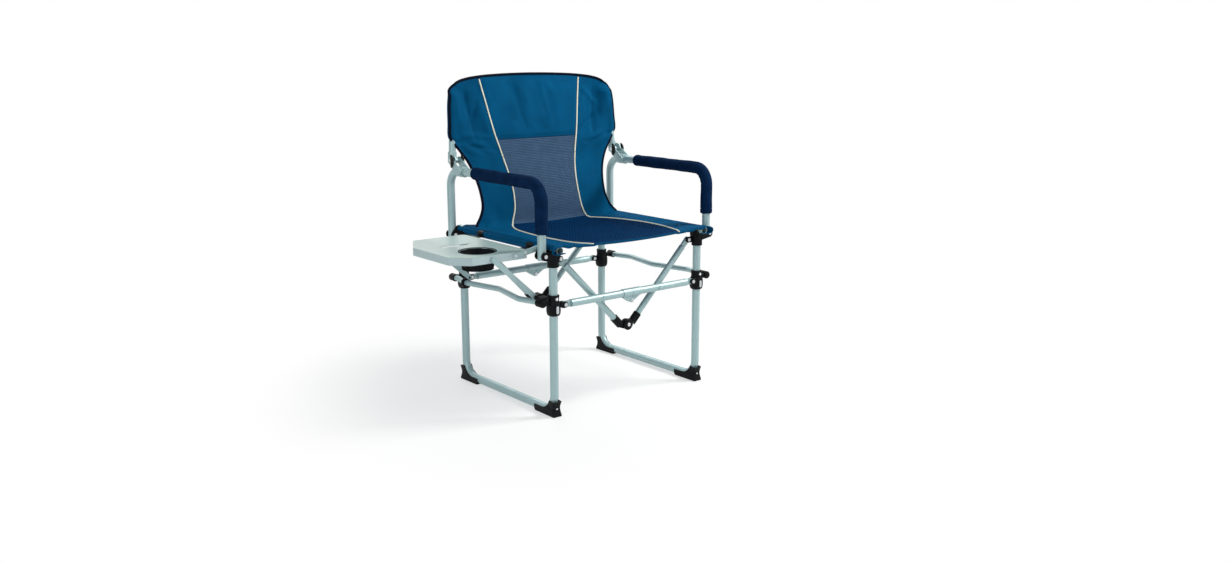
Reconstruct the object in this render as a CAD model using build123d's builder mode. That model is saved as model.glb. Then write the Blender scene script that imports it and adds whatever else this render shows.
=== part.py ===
from build123d import *
from math import radians, tan
import os

os.makedirs("parts", exist_ok=True)

# Driving dimensions in millimetres. X is across the chair, -Y is the front, Z is up.
# The origin is on the floor, midway between the four legs.

# Legs: one bent tube on each side, with a floor bar between its two legs
LEG_X = 250.0
LEG_Y = 214.0
LEG_DIA = 22.0
LEG_WALL = 1.5
LEG_TOP = 424.0
LEG_BEND = 45.0
FLOOR_BAR_Z = 14.0

# Moulded feet on the bends
FOOT_WIDTH = 30.0
FOOT_HEIGHT = 42.0
FOOT_LENGTH = 74.0
FOOT_TOE = 15.0
FOOT_GRIP = 4.0

# Seat rail in its cloth sleeve
RAIL_DIA = 20.0
RAIL_WALL = 1.5
RAIL_Z = 440.0
RAIL_FRONT = 244.0
RAIL_REAR = 228.0

# Top brackets
BRACKET_BOTTOM = 395.0
COLLAR_DIA = 30.0
SADDLE_WIDTH = 26.0
SADDLE_DEPTH = 30.0
SADDLE_DROP = 1.0
CHEEK_THICK = 5.0
EAR_THICK = 5.0

# Scissor linkage: crossbars and V struts
PIVOT_INSET = 27.0
CROSS_Z = 296.0
CROSS_DIA = 20.0
CROSS_WALL = 1.5
CROSS_OUT = 8.0
LUG_THICK = 6.0
LUG_RADIUS = 8.0
LUG_NECK = 7.0
LUG_LENGTH = 26.0
KNUCKLE_DROP = 20.0
KNUCKLE_EAR = 7.0
KNUCKLE_SLEEVE = 30.0
KNUCKLE_WALL = 1.6
KNUCKLE_PLATE = 2.5
STRUT_DIA = 17.0
STRUT_WALL = 1.2
STRUT_TOP_Z = 412.0
STRUT_FOOT_Z = 205.0
STRUT_IN = 12.0
STRUT_OFFSET = 13.0
HINGE_DISC = 14.0
HINGE_PLATE = 5.0
HINGE_SLEEVE = 30.0
HINGE_WALL = 2.5
HINGE_CLEAR = 2.0

# Sliding clamps and the bent stretcher of each side
CLAMP_WIDTH = 32.0
CLAMP_DEPTH = 34.0
CLAMP_BLOCK = 34.0
CLAMP_COLLAR = 20.0
CLAMP_LOW = 27.0
SOCKET_OUT = 36.0
SOCKET_RISE = 9.0
SOCKET_WALL = 3.0
SOCKET_DEPTH = 22.0
STRETCHER_DIA = 15.0
STRETCHER_WALL = 1.2
STRETCHER_SWELL = 14.0
STRETCHER_WAIST = 14.0
STRETCHER_LEAD = 34.0
STRETCHER_SHOULDER = 84.0
STRETCHER_BEND = 40.0
INSET_WIDTH = 8.0
INSET_HEIGHT = 20.0
INSET_THICK = 1.5

# Arms
ARM_OUT = 34.0
ARM_PIN_Z = 427.0
ARM_Z = 607.0
ARM_DIA = 22.0
ARM_WALL = 1.5
ARM_BEND = 45.0
ARM_TAIL = 11.0
FOAM_DIA = 34.0
FOAM_LOW = 482.0
FOAM_REAR = 88.0
FOAM_ROUND = 5.0

# Back posts on their folding brackets
POST_PIN_Y = 188.0
POST_PIN_Z = 635.0
POST_BACK = 14.0
POST_DIA = 19.0
POST_WALL = 1.2
POST_RISE = 163.0
POST_RAKE = 4.0
POST_LEAN = 4.2
POST_LUG_WALL = 2.5
POST_LUG_HEIGHT = 22.0
POST_LUG_DROP = 8.0
POST_EAR_WIDTH = 12.0
GRIP_REAR = 166.0
GRIP_LENGTH = 30.0
GRIP_WALL = 3.5
BACK_CHEEK = 3.0
BACK_CHEEK_GAP = 25.0
LOCK_RADIUS = 17.0
LOCK_THICK = 2.5

# Cloth
CLOTH = 3.0
SLEEVE_WALL = 3.0
SEAT_FRONT = 252.0
SEAT_CREASE = 138.0
SLEEVE_REAR = 196.0
SEAT_SAG = 14.0
BACK_TOP = 863.0
BACK_SHOULDER_Z = 804.0
BACK_CORNER_X = 222.0
BACK_CORNER_Z = 853.0
BACK_CORNER_BOW = 9.0
BACK_POCKET_Z = 672.0
BACK_BULGE = 22.0
CREASE_INSET = 38.0
WAIST_INSET = 28.0
WAIST_Z = 535.0
LUMBAR_INSET = 6.0
LUMBAR_BOW = 8.0

# Side table on the left
ROD_OUT = 22.0
ROD_DIA = 8.0
ROD_Z = 445.0
TABLE_TOP_Z = 441.0
TABLE_INNER = 305.0
TABLE_WIDTH = 208.0
TABLE_FRONT = 188.0
TABLE_REAR = 118.0
TABLE_FLANGE = 20.0
TABLE_SHEET = 1.6
TABLE_FRONT_CUT_X = 40.0
TABLE_FRONT_CUT_Y = 42.0
TABLE_REAR_CUT_X = 52.0
TABLE_REAR_CUT_Y = 92.0
TABLE_ROUND = 14.0
CUP_X = 412.0
CUP_Y = -118.0
CUP_DIA = 88.0
CUP_DEPTH = 46.0
CUP_RIM = 5.0
CUP_WALL = 1.5
SLOT_LENGTH = 90.0
SLOT_WIDTH = 14.0
SLOT_Y = -15.0
HINGE_FRONT_Y = -150.0
HINGE_REAR_Y = 80.0
HINGE_WIDTH = 26.0
BARREL_DIA = 14.0
STRAP_THICK = 3.0
STRAP_LAP = 24.0
PROP_X = 290.0
PROP_Z = 319.0
PROP_REACH = 141.6
PROP_DROP = 11.0
PROP_WIDTH = 13.0
PROP_THICK = 4.0

# Pins and clearances
PIN_DIA = 6.0
PIN_HEAD = 10.0
HEAD_THICK = 2.0
FIT = 0.1
RUN = 0.05
SLIDE = 0.25
GAP = 0.4

# Worked-out places
PIVOT_X = LEG_X - PIVOT_INSET
CROSS_Y = LEG_Y + CROSS_OUT
STRUT_Y = LEG_Y - STRUT_IN
ARM_X = LEG_X + ARM_OUT
ROD_X = LEG_X + ROD_OUT
SOCKET_X = LEG_X + SOCKET_OUT
SOCKET_Z = CROSS_Z + SOCKET_RISE
SLEEVE_RADIUS = RAIL_DIA / 2 + SLEEVE_WALL
POCKET_RADIUS = POST_DIA / 2 + SLEEVE_WALL
POST_Y = POST_PIN_Y + POST_BACK
POST_TOP = POST_PIN_Z + POST_RISE
CREASE_HALF = ARM_X - CREASE_INSET
WAIST_HALF = LEG_X - WAIST_INSET
LUMBAR_FLARE = LEG_X - LUMBAR_INSET
CHEEK_GAP = ARM_DIA + 2 * GAP
PIN_HOLE = PIN_DIA / 2 + RUN


def tube(points, outer, wall, bend=None):
    """A round tube along straight runs joined by bends of one radius."""
    with BuildPart() as bent:
        with BuildLine() as path:
            if bend:
                FilletPolyline(*points, radius=bend)
            else:
                Polyline(*points)
        with BuildSketch(Plane(path.line @ 0, z_dir=path.line % 0)):
            Circle(outer / 2)
            if wall:
                Circle(outer / 2 - wall, mode=Mode.SUBTRACT)
        sweep()
    return bent.part


def rod(start, end, diameter):
    """A straight solid round bar between two points."""
    axis = Vector(*end) - Vector(*start)
    with BuildPart() as bar:
        with BuildSketch(Plane(start, z_dir=axis)):
            Circle(diameter / 2)
        extrude(amount=axis.length)
    return bar.part


def plate_y(outline, y, thick):
    """A flat plate in the XZ plane: round ends at two points, its front face at y."""
    (x1, z1, r1), (x2, z2, r2) = outline
    with BuildPart() as plate:
        with BuildSketch(Plane((0, y, 0), x_dir=(1, 0, 0), z_dir=(0, -1, 0))):
            with Locations((x1, z1)):
                Circle(r1)
            with Locations((x2, z2)):
                Circle(r2)
            make_hull()
        extrude(amount=-thick)
    return plate.part


def pin_y(x, z, y_front, y_rear):
    """A headed pin along Y whose shank fills the gap between two faces."""
    with BuildPart() as pin:
        add(rod((x, y_front, z), (x, y_rear, z), PIN_DIA))
        add(rod((x, y_front - HEAD_THICK, z), (x, y_front, z), PIN_HEAD))
        add(rod((x, y_rear, z), (x, y_rear + HEAD_THICK, z), PIN_HEAD))
    return pin.part


def bore_y(x, z, radius):
    """Cuts a hole along Y through the part being built."""
    with Locations(Location((x, 0, z), (90, 0, 0))):
        Cylinder(radius, 4 * LEG_Y, mode=Mode.SUBTRACT)


def leg_points():
    """The legs' axis, from the front top to the rear top."""
    return [
        (LEG_X, -LEG_Y, LEG_TOP),
        (LEG_X, -LEG_Y, FLOOR_BAR_Z),
        (LEG_X, LEG_Y, FLOOR_BAR_Z),
        (LEG_X, LEG_Y, LEG_TOP),
    ]


def leg_frame():
    with BuildPart() as legs:
        add(tube(leg_points(), LEG_DIA, LEG_WALL, LEG_BEND))
    return legs


def seat_rail():
    with BuildPart() as rail:
        add(tube([(LEG_X, -RAIL_FRONT, RAIL_Z), (LEG_X, RAIL_REAR, RAIL_Z)], RAIL_DIA, RAIL_WALL))
    return rail


def foot():
    """A front foot: a shoe around the bend, open on the inner side of the tube."""
    bend_y = -LEG_Y + LEG_BEND
    bend_z = FLOOR_BAR_Z + LEG_BEND
    inner = LEG_BEND - FOOT_GRIP
    toe = -LEG_Y - FOOT_TOE
    heel = -LEG_Y + FOOT_LENGTH
    with BuildPart() as shoe:
        with BuildSketch(Plane((LEG_X - FOOT_WIDTH / 2, 0, 0), x_dir=(0, 1, 0), z_dir=(1, 0, 0))):
            Polygon((toe, 0), (heel, 0), (heel, FOOT_HEIGHT), (toe, FOOT_HEIGHT), align=None)
            with Locations((bend_y, bend_z)):
                Circle(inner, mode=Mode.SUBTRACT)
            Polygon(
                (bend_y, FLOOR_BAR_Z + FOOT_GRIP),
                (heel, FLOOR_BAR_Z + FOOT_GRIP),
                (heel, bend_z),
                (bend_y, bend_z),
                align=None,
                mode=Mode.SUBTRACT,
            )
        extrude(amount=FOOT_WIDTH)
        chamfer(shoe.edges().filter_by(Axis.Z).group_by(Axis.Y)[0], FOOT_WIDTH / 10)
        add(tube(leg_points(), LEG_DIA + 2 * FIT, None, LEG_BEND), mode=Mode.SUBTRACT)
    return shoe


def top_bracket():
    """A front bracket: collar on the leg, saddle for the rail, fork for the arm, ear for the strut."""
    ear_y = -STRUT_Y - LUG_THICK / 2 - GAP - EAR_THICK
    with BuildPart() as bracket:
        add(rod((LEG_X, -LEG_Y, BRACKET_BOTTOM), (LEG_X, -LEG_Y, RAIL_Z - SADDLE_DROP), COLLAR_DIA))
        with Locations((LEG_X, -LEG_Y, LEG_TOP)):
            Box(SADDLE_WIDTH, SADDLE_DEPTH, RAIL_Z - SADDLE_DROP - LEG_TOP,
                align=(Align.CENTER, Align.CENTER, Align.MIN))
        collar = (LEG_X, ARM_PIN_Z - ARM_TAIL / 2, ARM_TAIL)
        for y in (-LEG_Y - CHEEK_GAP / 2 - CHEEK_THICK, -LEG_Y + CHEEK_GAP / 2):
            add(plate_y([collar, (ARM_X, ARM_PIN_Z, ARM_TAIL)], y, CHEEK_THICK))
        add(plate_y([(LEG_X, STRUT_TOP_Z, LUG_RADIUS), (PIVOT_X, STRUT_TOP_Z, LUG_RADIUS)], ear_y, EAR_THICK))
        add(rod((LEG_X, -LEG_Y, 0), (LEG_X, -LEG_Y, LEG_TOP), LEG_DIA + 2 * FIT), mode=Mode.SUBTRACT)
        bore_y(LEG_X, RAIL_Z, RAIL_DIA / 2 + FIT)
        bore_y(ARM_X, ARM_PIN_Z, PIN_HOLE)
        bore_y(PIVOT_X, STRUT_TOP_Z, PIN_HOLE)
    return bracket


def table_side_bracket():
    """The left bracket also takes an end of the table's hinge rod in its inner cheek."""
    inner_cheek = -LEG_Y + CHEEK_GAP / 2
    with BuildPart() as bracket:
        add(top_bracket().part)
        add(plate_y([(ARM_X, ARM_PIN_Z, ARM_TAIL), (ROD_X, ROD_Z, ROD_DIA)], inner_cheek, CHEEK_THICK))
        bore_y(ROD_X, ROD_Z, ROD_DIA / 2 + FIT)
        bore_y(ARM_X, ARM_PIN_Z, PIN_HOLE)
    return bracket


def bracket_pins():
    """Four headed pins: arms and struts, front and rear."""
    strut_front = -STRUT_Y - LUG_THICK / 2 - GAP - EAR_THICK
    with BuildPart() as pins:
        add(pin_y(ARM_X, ARM_PIN_Z, -LEG_Y - CHEEK_GAP / 2 - CHEEK_THICK, -LEG_Y + CHEEK_GAP / 2 + CHEEK_THICK))
        add(pin_y(PIVOT_X, STRUT_TOP_Z, strut_front, -STRUT_Y + LUG_THICK / 2 + GAP))
        mirror(about=Plane.XZ)
    return pins


def clamp():
    """A front clamp: collar and block on the leg, ears for the crossbar, socket for the stretcher."""
    low = CROSS_Z - CLAMP_LOW
    with BuildPart() as slider:
        with Locations((LEG_X, -LEG_Y, low)):
            Box(CLAMP_WIDTH, CLAMP_DEPTH, CLAMP_BLOCK, align=(Align.CENTER, Align.CENTER, Align.MIN))
        fillet(slider.edges().filter_by(Axis.Z), CLAMP_WIDTH / 6)
        add(rod((LEG_X, -LEG_Y, low), (LEG_X, -LEG_Y, low + CLAMP_BLOCK + CLAMP_COLLAR), CLAMP_WIDTH))
        for y in (-CROSS_Y - LUG_THICK / 2 - GAP - EAR_THICK, -CROSS_Y + LUG_THICK / 2 + GAP):
            add(plate_y([(LEG_X, CROSS_Z, LUG_RADIUS), (PIVOT_X, CROSS_Z, LUG_RADIUS)], y, EAR_THICK))
        socket = STRETCHER_DIA / 2 + SOCKET_WALL
        socket_end = -LEG_Y + CLAMP_DEPTH / 2
        add(rod((SOCKET_X, socket_end - SOCKET_DEPTH - SOCKET_WALL, SOCKET_Z), (SOCKET_X, socket_end, SOCKET_Z),
                2 * socket))
        with Locations((LEG_X, socket_end, SOCKET_Z)):
            Box(SOCKET_OUT, SOCKET_DEPTH, socket, align=(Align.MIN, Align.MAX, Align.CENTER))
        add(rod((LEG_X, -LEG_Y, 0), (LEG_X, -LEG_Y, LEG_TOP), LEG_DIA + 2 * SLIDE), mode=Mode.SUBTRACT)
        add(rod((SOCKET_X, socket_end - SOCKET_DEPTH, SOCKET_Z), (SOCKET_X, LEG_Y, SOCKET_Z),
                STRETCHER_DIA + 2 * FIT), mode=Mode.SUBTRACT)
        with BuildSketch(Plane((LEG_X, -LEG_Y - CLAMP_DEPTH / 2, low + CLAMP_BLOCK / 2), x_dir=(1, 0, 0),
                               z_dir=(0, -1, 0))):
            SlotOverall(INSET_HEIGHT + 2 * FIT, INSET_WIDTH + 2 * FIT, rotation=90)
        extrude(amount=-INSET_THICK, mode=Mode.SUBTRACT)
        bore_y(PIVOT_X, CROSS_Z, PIN_HOLE)
    return slider


def prop_seat(front_y):
    """A lug above the stretcher's axis with the stud that carries one table prop."""
    with BuildPart() as lug:
        add(plate_y([(SOCKET_X, SOCKET_Z + STRETCHER_DIA / 2 + SOCKET_WALL / 2, SOCKET_WALL),
                     (PROP_X, PROP_Z, PIN_HEAD / 2)], front_y, EAR_THICK))
        add(rod((PROP_X, front_y, PROP_Z), (PROP_X, front_y + EAR_THICK + GAP + PROP_THICK + GAP, PROP_Z), PIN_DIA))
    return lug.part


def prop_plane():
    """Front faces of the two table props, beside the table's front and rear flanges."""
    return -TABLE_FRONT - GAP - PROP_THICK, TABLE_REAR + GAP


def table_side_clamp():
    """The left front clamp also carries the stud of the front table prop."""
    front, _ = prop_plane()
    with BuildPart() as slider:
        add(clamp().part)
        add(prop_seat(front - GAP - EAR_THICK))
        with Locations((PROP_X, front - GAP, PROP_Z - PIN_HEAD / 2)):
            Box(PIN_HEAD, LEG_Y - TABLE_FRONT - 2 * GAP, PIN_HEAD, align=(Align.CENTER, Align.MAX, Align.CENTER))
        add(rod((SOCKET_X, -LEG_Y + CLAMP_DEPTH / 2 - SOCKET_DEPTH, SOCKET_Z), (SOCKET_X, LEG_Y, SOCKET_Z),
                STRETCHER_DIA + 2 * FIT), mode=Mode.SUBTRACT)
    return slider


def clamp_fittings():
    """Crossbar pins and the bright oval insets in the clamps' faces."""
    face = -LEG_Y - CLAMP_DEPTH / 2
    half = LUG_THICK / 2 + GAP + EAR_THICK
    with BuildPart() as fittings:
        add(pin_y(PIVOT_X, CROSS_Z, -CROSS_Y - half, -CROSS_Y + half))
        with BuildSketch(Plane((LEG_X, face + INSET_THICK, CROSS_Z - CLAMP_LOW + CLAMP_BLOCK / 2), x_dir=(1, 0, 0),
                               z_dir=(0, -1, 0))):
            SlotOverall(INSET_HEIGHT, INSET_WIDTH, rotation=90)
        extrude(amount=2 * INSET_THICK)
        mirror(about=Plane.XZ)
    return fittings


def stretcher_points():
    """The stretcher's axis: out past both clamps, then drawn in at the middle."""
    end = LEG_Y - CLAMP_DEPTH / 2 + SOCKET_DEPTH
    lead = LEG_Y - STRETCHER_LEAD
    shoulder = LEG_Y - STRETCHER_SHOULDER
    front = [(SOCKET_X, -end, SOCKET_Z), (SOCKET_X, -lead, SOCKET_Z), (SOCKET_X + STRETCHER_SWELL, -shoulder, SOCKET_Z)]
    rear = [(x, -y, z) for x, y, z in reversed(front)]
    return front + [(SOCKET_X - STRETCHER_WAIST, 0, SOCKET_Z)] + rear


def side_stretcher():
    with BuildPart() as stretcher:
        add(tube(stretcher_points(), STRETCHER_DIA, STRETCHER_WALL, STRETCHER_BEND))
    return stretcher


def rear_prop_clip():
    """A ring on the left stretcher that carries the rear table prop."""
    _, rear = prop_plane()
    ring = STRETCHER_DIA + 2 * SOCKET_WALL
    near = rear + PROP_THICK + GAP
    ring_x = SOCKET_X + STRETCHER_SWELL
    with BuildPart() as clip:
        add(rod((ring_x, near, SOCKET_Z), (ring_x, near + EAR_THICK, SOCKET_Z), ring + 2 * SOCKET_WALL))
        add(plate_y([(ring_x, SOCKET_Z, ring / 2), (PROP_X, PROP_Z, PIN_HEAD / 2)], near, EAR_THICK))
        add(rod((PROP_X, rear - GAP, PROP_Z), (PROP_X, near, PROP_Z), PIN_DIA))
        add(tube(stretcher_points(), STRETCHER_DIA + 2 * FIT, None, STRETCHER_BEND), mode=Mode.SUBTRACT)
    return clip


def crossbar():
    """Half of the front crossbar: a tube whose outer end is pressed flat for the clamp's ears."""
    tube_end = PIVOT_X - LUG_RADIUS - LUG_LENGTH / 2
    with BuildPart() as bar:
        add(rod((GAP, -CROSS_Y, CROSS_Z), (tube_end, -CROSS_Y, CROSS_Z), CROSS_DIA))
        add(plate_y([(tube_end - LUG_LENGTH / 2, CROSS_Z, LUG_RADIUS), (PIVOT_X, CROSS_Z, LUG_RADIUS)],
                    -CROSS_Y - LUG_THICK / 2, LUG_THICK))
        add(rod((0, -CROSS_Y, CROSS_Z), (tube_end - LUG_LENGTH, -CROSS_Y, CROSS_Z), CROSS_DIA - 2 * CROSS_WALL),
            mode=Mode.SUBTRACT)
        rivet_x = PIVOT_X * (CROSS_Z - STRUT_FOOT_Z) / (STRUT_TOP_Z - STRUT_FOOT_Z)
        skin_y = -CROSS_Y - CROSS_DIA / 2
        add(rod((rivet_x, skin_y + CROSS_WALL, CROSS_Z), (rivet_x, skin_y - HEAD_THICK, CROSS_Z), PIN_HEAD))
        bore_y(PIVOT_X, CROSS_Z, PIN_HOLE)
    return bar


def knuckle_layers(side):
    """Distances from the crossbar's axis to the near faces of one side's two ears."""
    inner = KNUCKLE_PLATE / 2
    return inner + (KNUCKLE_PLATE + GAP if side == "left" else 0)


def knuckles(side):
    """Metal sleeves on the crossbars' inner ends, front and rear, with ears that hang to the pivot."""
    sleeve = CROSS_DIA + 2 * KNUCKLE_WALL
    pivot_z = CROSS_Z - KNUCKLE_DROP
    near = knuckle_layers(side)
    with BuildPart() as sleeves:
        add(rod((GAP, -CROSS_Y, CROSS_Z), (KNUCKLE_SLEEVE, -CROSS_Y, CROSS_Z), sleeve))
        root = (KNUCKLE_SLEEVE - KNUCKLE_EAR, CROSS_Z - CROSS_DIA / 2 + KNUCKLE_EAR / 2, KNUCKLE_EAR)
        for y in (-CROSS_Y - near - KNUCKLE_PLATE, -CROSS_Y + near):
            add(plate_y([root, (0, pivot_z, KNUCKLE_EAR)], y, KNUCKLE_PLATE))
        add(rod((-LEG_X, -CROSS_Y, CROSS_Z), (LEG_X, -CROSS_Y, CROSS_Z), CROSS_DIA + 2 * FIT), mode=Mode.SUBTRACT)
        with Locations((0, -CROSS_Y, CROSS_Z - CROSS_DIA / 2 - KNUCKLE_WALL)):
            Box(2 * KNUCKLE_EAR + 2 * GAP, sleeve, CROSS_DIA, align=(Align.MAX, Align.CENTER, Align.MIN),
                mode=Mode.SUBTRACT)
        bore_y(0, pivot_z, PIN_HOLE)
        mirror(about=Plane.XZ)
    return sleeves


def knuckle_pins():
    half = knuckle_layers("left") + KNUCKLE_PLATE
    with BuildPart() as pins:
        add(pin_y(0, CROSS_Z - KNUCKLE_DROP, -CROSS_Y - half, -CROSS_Y + half))
        mirror(about=Plane.XZ)
    return pins


def strut_axis():
    """Ends of the front V strut's tube: cut back from the bracket's ear and from the bottom hinge."""
    top = Vector(PIVOT_X, -STRUT_Y, STRUT_TOP_Z)
    foot_point = Vector(0, -STRUT_Y, STRUT_FOOT_Z)
    along = (foot_point - top).normalized()
    outward = Vector(-along.Z, 0, along.X)
    low = foot_point + outward * STRUT_OFFSET - along * (HINGE_DISC + HINGE_CLEAR)
    lean = (low - top).normalized()
    return top, top + lean * LUG_LENGTH, low, lean


def strut():
    """A front V strut with a flat lug at its top pivot."""
    top, start, low, lean = strut_axis()
    lug_root = start + lean * LUG_RADIUS
    with BuildPart() as bar:
        add(plate_y([(top.X, top.Z, LUG_RADIUS), (lug_root.X, lug_root.Z, LUG_NECK)],
                    -STRUT_Y - LUG_THICK / 2, LUG_THICK))
        add(rod(start, low, STRUT_DIA))
        hollow = start + lean * (LUG_LENGTH - LUG_RADIUS)
        add(rod(hollow, low, STRUT_DIA - 2 * STRUT_WALL), mode=Mode.SUBTRACT)
        bore_y(top.X, top.Z, PIN_HOLE)
    return bar


def strut_hinges(side):
    """Black half hinges at the V's bottom, front and rear: a sleeve on the strut and a disc at the pivot."""
    _, _, low, lean = strut_axis()
    disc_front = -STRUT_Y - HINGE_PLATE - GAP / 2 if side == "left" else -STRUT_Y + GAP / 2
    head_front = disc_front - HEAD_THICK if side == "left" else disc_front + HINGE_PLATE
    back = low - lean * HINGE_SLEEVE
    with BuildPart() as hinges:
        add(rod(back, low, STRUT_DIA + 2 * HINGE_WALL))
        add(plate_y([(0, STRUT_FOOT_Z, HINGE_DISC), (low.X, low.Z, STRUT_DIA / 2)], disc_front, HINGE_PLATE))
        add(rod((0, head_front, STRUT_FOOT_Z), (0, head_front + HEAD_THICK, STRUT_FOOT_Z), PIN_HEAD))
        add(rod((back - lean), low, STRUT_DIA + 2 * FIT), mode=Mode.SUBTRACT)
        mirror(about=Plane.XZ)
    return hinges


def arm_tube():
    points = [
        (ARM_X, -LEG_Y, ARM_PIN_Z - ARM_TAIL),
        (ARM_X, -LEG_Y, ARM_Z),
        (ARM_X, LEG_Y, ARM_Z),
        (ARM_X, LEG_Y, ARM_PIN_Z - ARM_TAIL),
    ]
    with BuildPart() as arm:
        add(tube(points, ARM_DIA, ARM_WALL, ARM_BEND))
        bore_y(ARM_X, ARM_PIN_Z, PIN_HOLE)
    return arm


def arm_foam():
    points = [(ARM_X, -LEG_Y, FOAM_LOW), (ARM_X, -LEG_Y, ARM_Z), (ARM_X, FOAM_REAR, ARM_Z)]
    with BuildPart() as foam:
        add(tube(points, FOAM_DIA, None, ARM_BEND))
        ends = foam.faces().sort_by(Axis.Z)[0].edges() + foam.faces().sort_by(Axis.Y)[-1].edges()
        fillet(ends, FOAM_ROUND)
        add(tube(points, ARM_DIA + 2 * FIT, None, ARM_BEND), mode=Mode.SUBTRACT)
    return foam


def back_bracket():
    """Black bracket on the arm: a grip around the tube and two cheeks up to the back's pivot."""
    with BuildPart() as bracket:
        grip_front = GRIP_REAR - GRIP_LENGTH
        add(rod((ARM_X, grip_front, ARM_Z), (ARM_X, GRIP_REAR, ARM_Z), ARM_DIA + 2 * GRIP_WALL))
        for x in (ARM_X - BACK_CHEEK_GAP / 2 - BACK_CHEEK, ARM_X + BACK_CHEEK_GAP / 2):
            with BuildSketch(Plane((x, 0, 0), x_dir=(0, 1, 0), z_dir=(1, 0, 0))):
                with Locations((POST_PIN_Y, POST_PIN_Z)):
                    Circle(PIN_HEAD)
                with Locations((grip_front + PIN_HEAD, ARM_Z), (GRIP_REAR - PIN_HEAD, ARM_Z)):
                    Circle(PIN_HEAD)
                make_hull()
            extrude(amount=BACK_CHEEK)
        add(rod((ARM_X, 0, ARM_Z), (ARM_X, LEG_Y, ARM_Z), ARM_DIA + 2 * FIT), mode=Mode.SUBTRACT)
        with Locations(Location((ARM_X, POST_PIN_Y, POST_PIN_Z), (0, 90, 0))):
            Cylinder(PIN_HOLE, 2 * ARM_OUT, mode=Mode.SUBTRACT)
    return bracket


def back_pin():
    half = BACK_CHEEK_GAP / 2 + BACK_CHEEK
    with BuildPart() as pin:
        centre = Vector(ARM_X, POST_PIN_Y, POST_PIN_Z)
        add(rod(centre - (half, 0, 0), centre + (half, 0, 0), PIN_DIA))
        for inner in (-half - HEAD_THICK, half):
            head = centre + (inner, 0, 0)
            add(rod(head, head + (HEAD_THICK, 0, 0), PIN_HEAD))
    return pin


def post_point(z):
    """A point on the back post's axis, which leans back and inwards from its pivot."""
    rise = z - POST_PIN_Z
    return ARM_X - rise * tan(radians(POST_LEAN)), POST_Y + rise * tan(radians(POST_RAKE)), z


def back_post():
    with BuildPart() as post:
        add(tube([post_point(POST_PIN_Z), post_point(POST_TOP)], POST_DIA, POST_WALL))
    return post


def post_lug():
    """Metal lug on the post's foot: a sleeve, an ear to the pivot pin and a half-moon lock plate."""
    ear = POST_EAR_WIDTH
    with BuildPart() as lug:
        add(rod(post_point(POST_PIN_Z - POST_LUG_DROP), post_point(POST_PIN_Z + POST_LUG_HEIGHT),
                POST_DIA + 2 * POST_LUG_WALL))
        with BuildSketch(Plane((ARM_X - ear / 2, 0, 0), x_dir=(0, 1, 0), z_dir=(1, 0, 0))):
            with Locations((POST_PIN_Y, POST_PIN_Z), (POST_Y, POST_PIN_Z)):
                Circle(POST_LUG_DROP)
            make_hull()
        extrude(amount=ear)
        with BuildSketch(Plane((ARM_X + ear / 2, 0, 0), x_dir=(0, 1, 0), z_dir=(1, 0, 0))):
            with Locations((POST_PIN_Y, POST_PIN_Z)):
                Circle(LOCK_RADIUS)
                Rectangle(2 * LOCK_RADIUS, LOCK_RADIUS, align=(Align.CENTER, Align.MAX), mode=Mode.SUBTRACT)
        extrude(amount=LOCK_THICK)
        add(rod(post_point(POST_PIN_Z), post_point(POST_TOP), POST_DIA + 2 * FIT), mode=Mode.SUBTRACT)
        with Locations(Location((ARM_X, POST_PIN_Y, POST_PIN_Z), (0, 90, 0))):
            Cylinder(PIN_HOLE, 2 * ARM_OUT, mode=Mode.SUBTRACT)
    return lug


def seat_half():
    """Half of the seat: a sagging sheet and the sleeve round the rail, notched for the brackets."""
    edge_z = RAIL_Z + SLEEVE_RADIUS
    with BuildPart() as seat:
        with BuildSketch(Plane((0, -SEAT_FRONT, 0), x_dir=(1, 0, 0), z_dir=(0, -1, 0))):
            with BuildLine():
                top = ThreePointArc((-LEG_X, edge_z), (0, edge_z - SEAT_SAG), (LEG_X, edge_z))
                low = ThreePointArc((-LEG_X, edge_z - CLOTH), (0, edge_z - SEAT_SAG - CLOTH), (LEG_X, edge_z - CLOTH))
                Line(top @ 0, low @ 0)
                Line(top @ 1, low @ 1)
            make_face()
        extrude(amount=-SEAT_FRONT - SEAT_CREASE)
        add(rod((LEG_X, -SEAT_FRONT, RAIL_Z), (LEG_X, SLEEVE_REAR, RAIL_Z), 2 * SLEEVE_RADIUS))
        add(rod((LEG_X, -2 * SEAT_FRONT, RAIL_Z), (LEG_X, 2 * SEAT_FRONT, RAIL_Z), RAIL_DIA + 2 * GAP),
            mode=Mode.SUBTRACT)
        with Locations((GAP / 2, 0, RAIL_Z)):
            Box(4 * LEG_X, 4 * LEG_Y, 4 * LEG_X, align=(Align.MAX, Align.CENTER, Align.CENTER), mode=Mode.SUBTRACT)
        notch = SADDLE_DEPTH + 2 * CHEEK_THICK
        with Locations((LEG_X, -LEG_Y, RAIL_Z + GAP)):
            Box(2 * ARM_OUT, notch, SLEEVE_RADIUS * 2, align=(Align.CENTER, Align.CENTER, Align.MAX),
                mode=Mode.SUBTRACT)
    return seat


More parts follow.
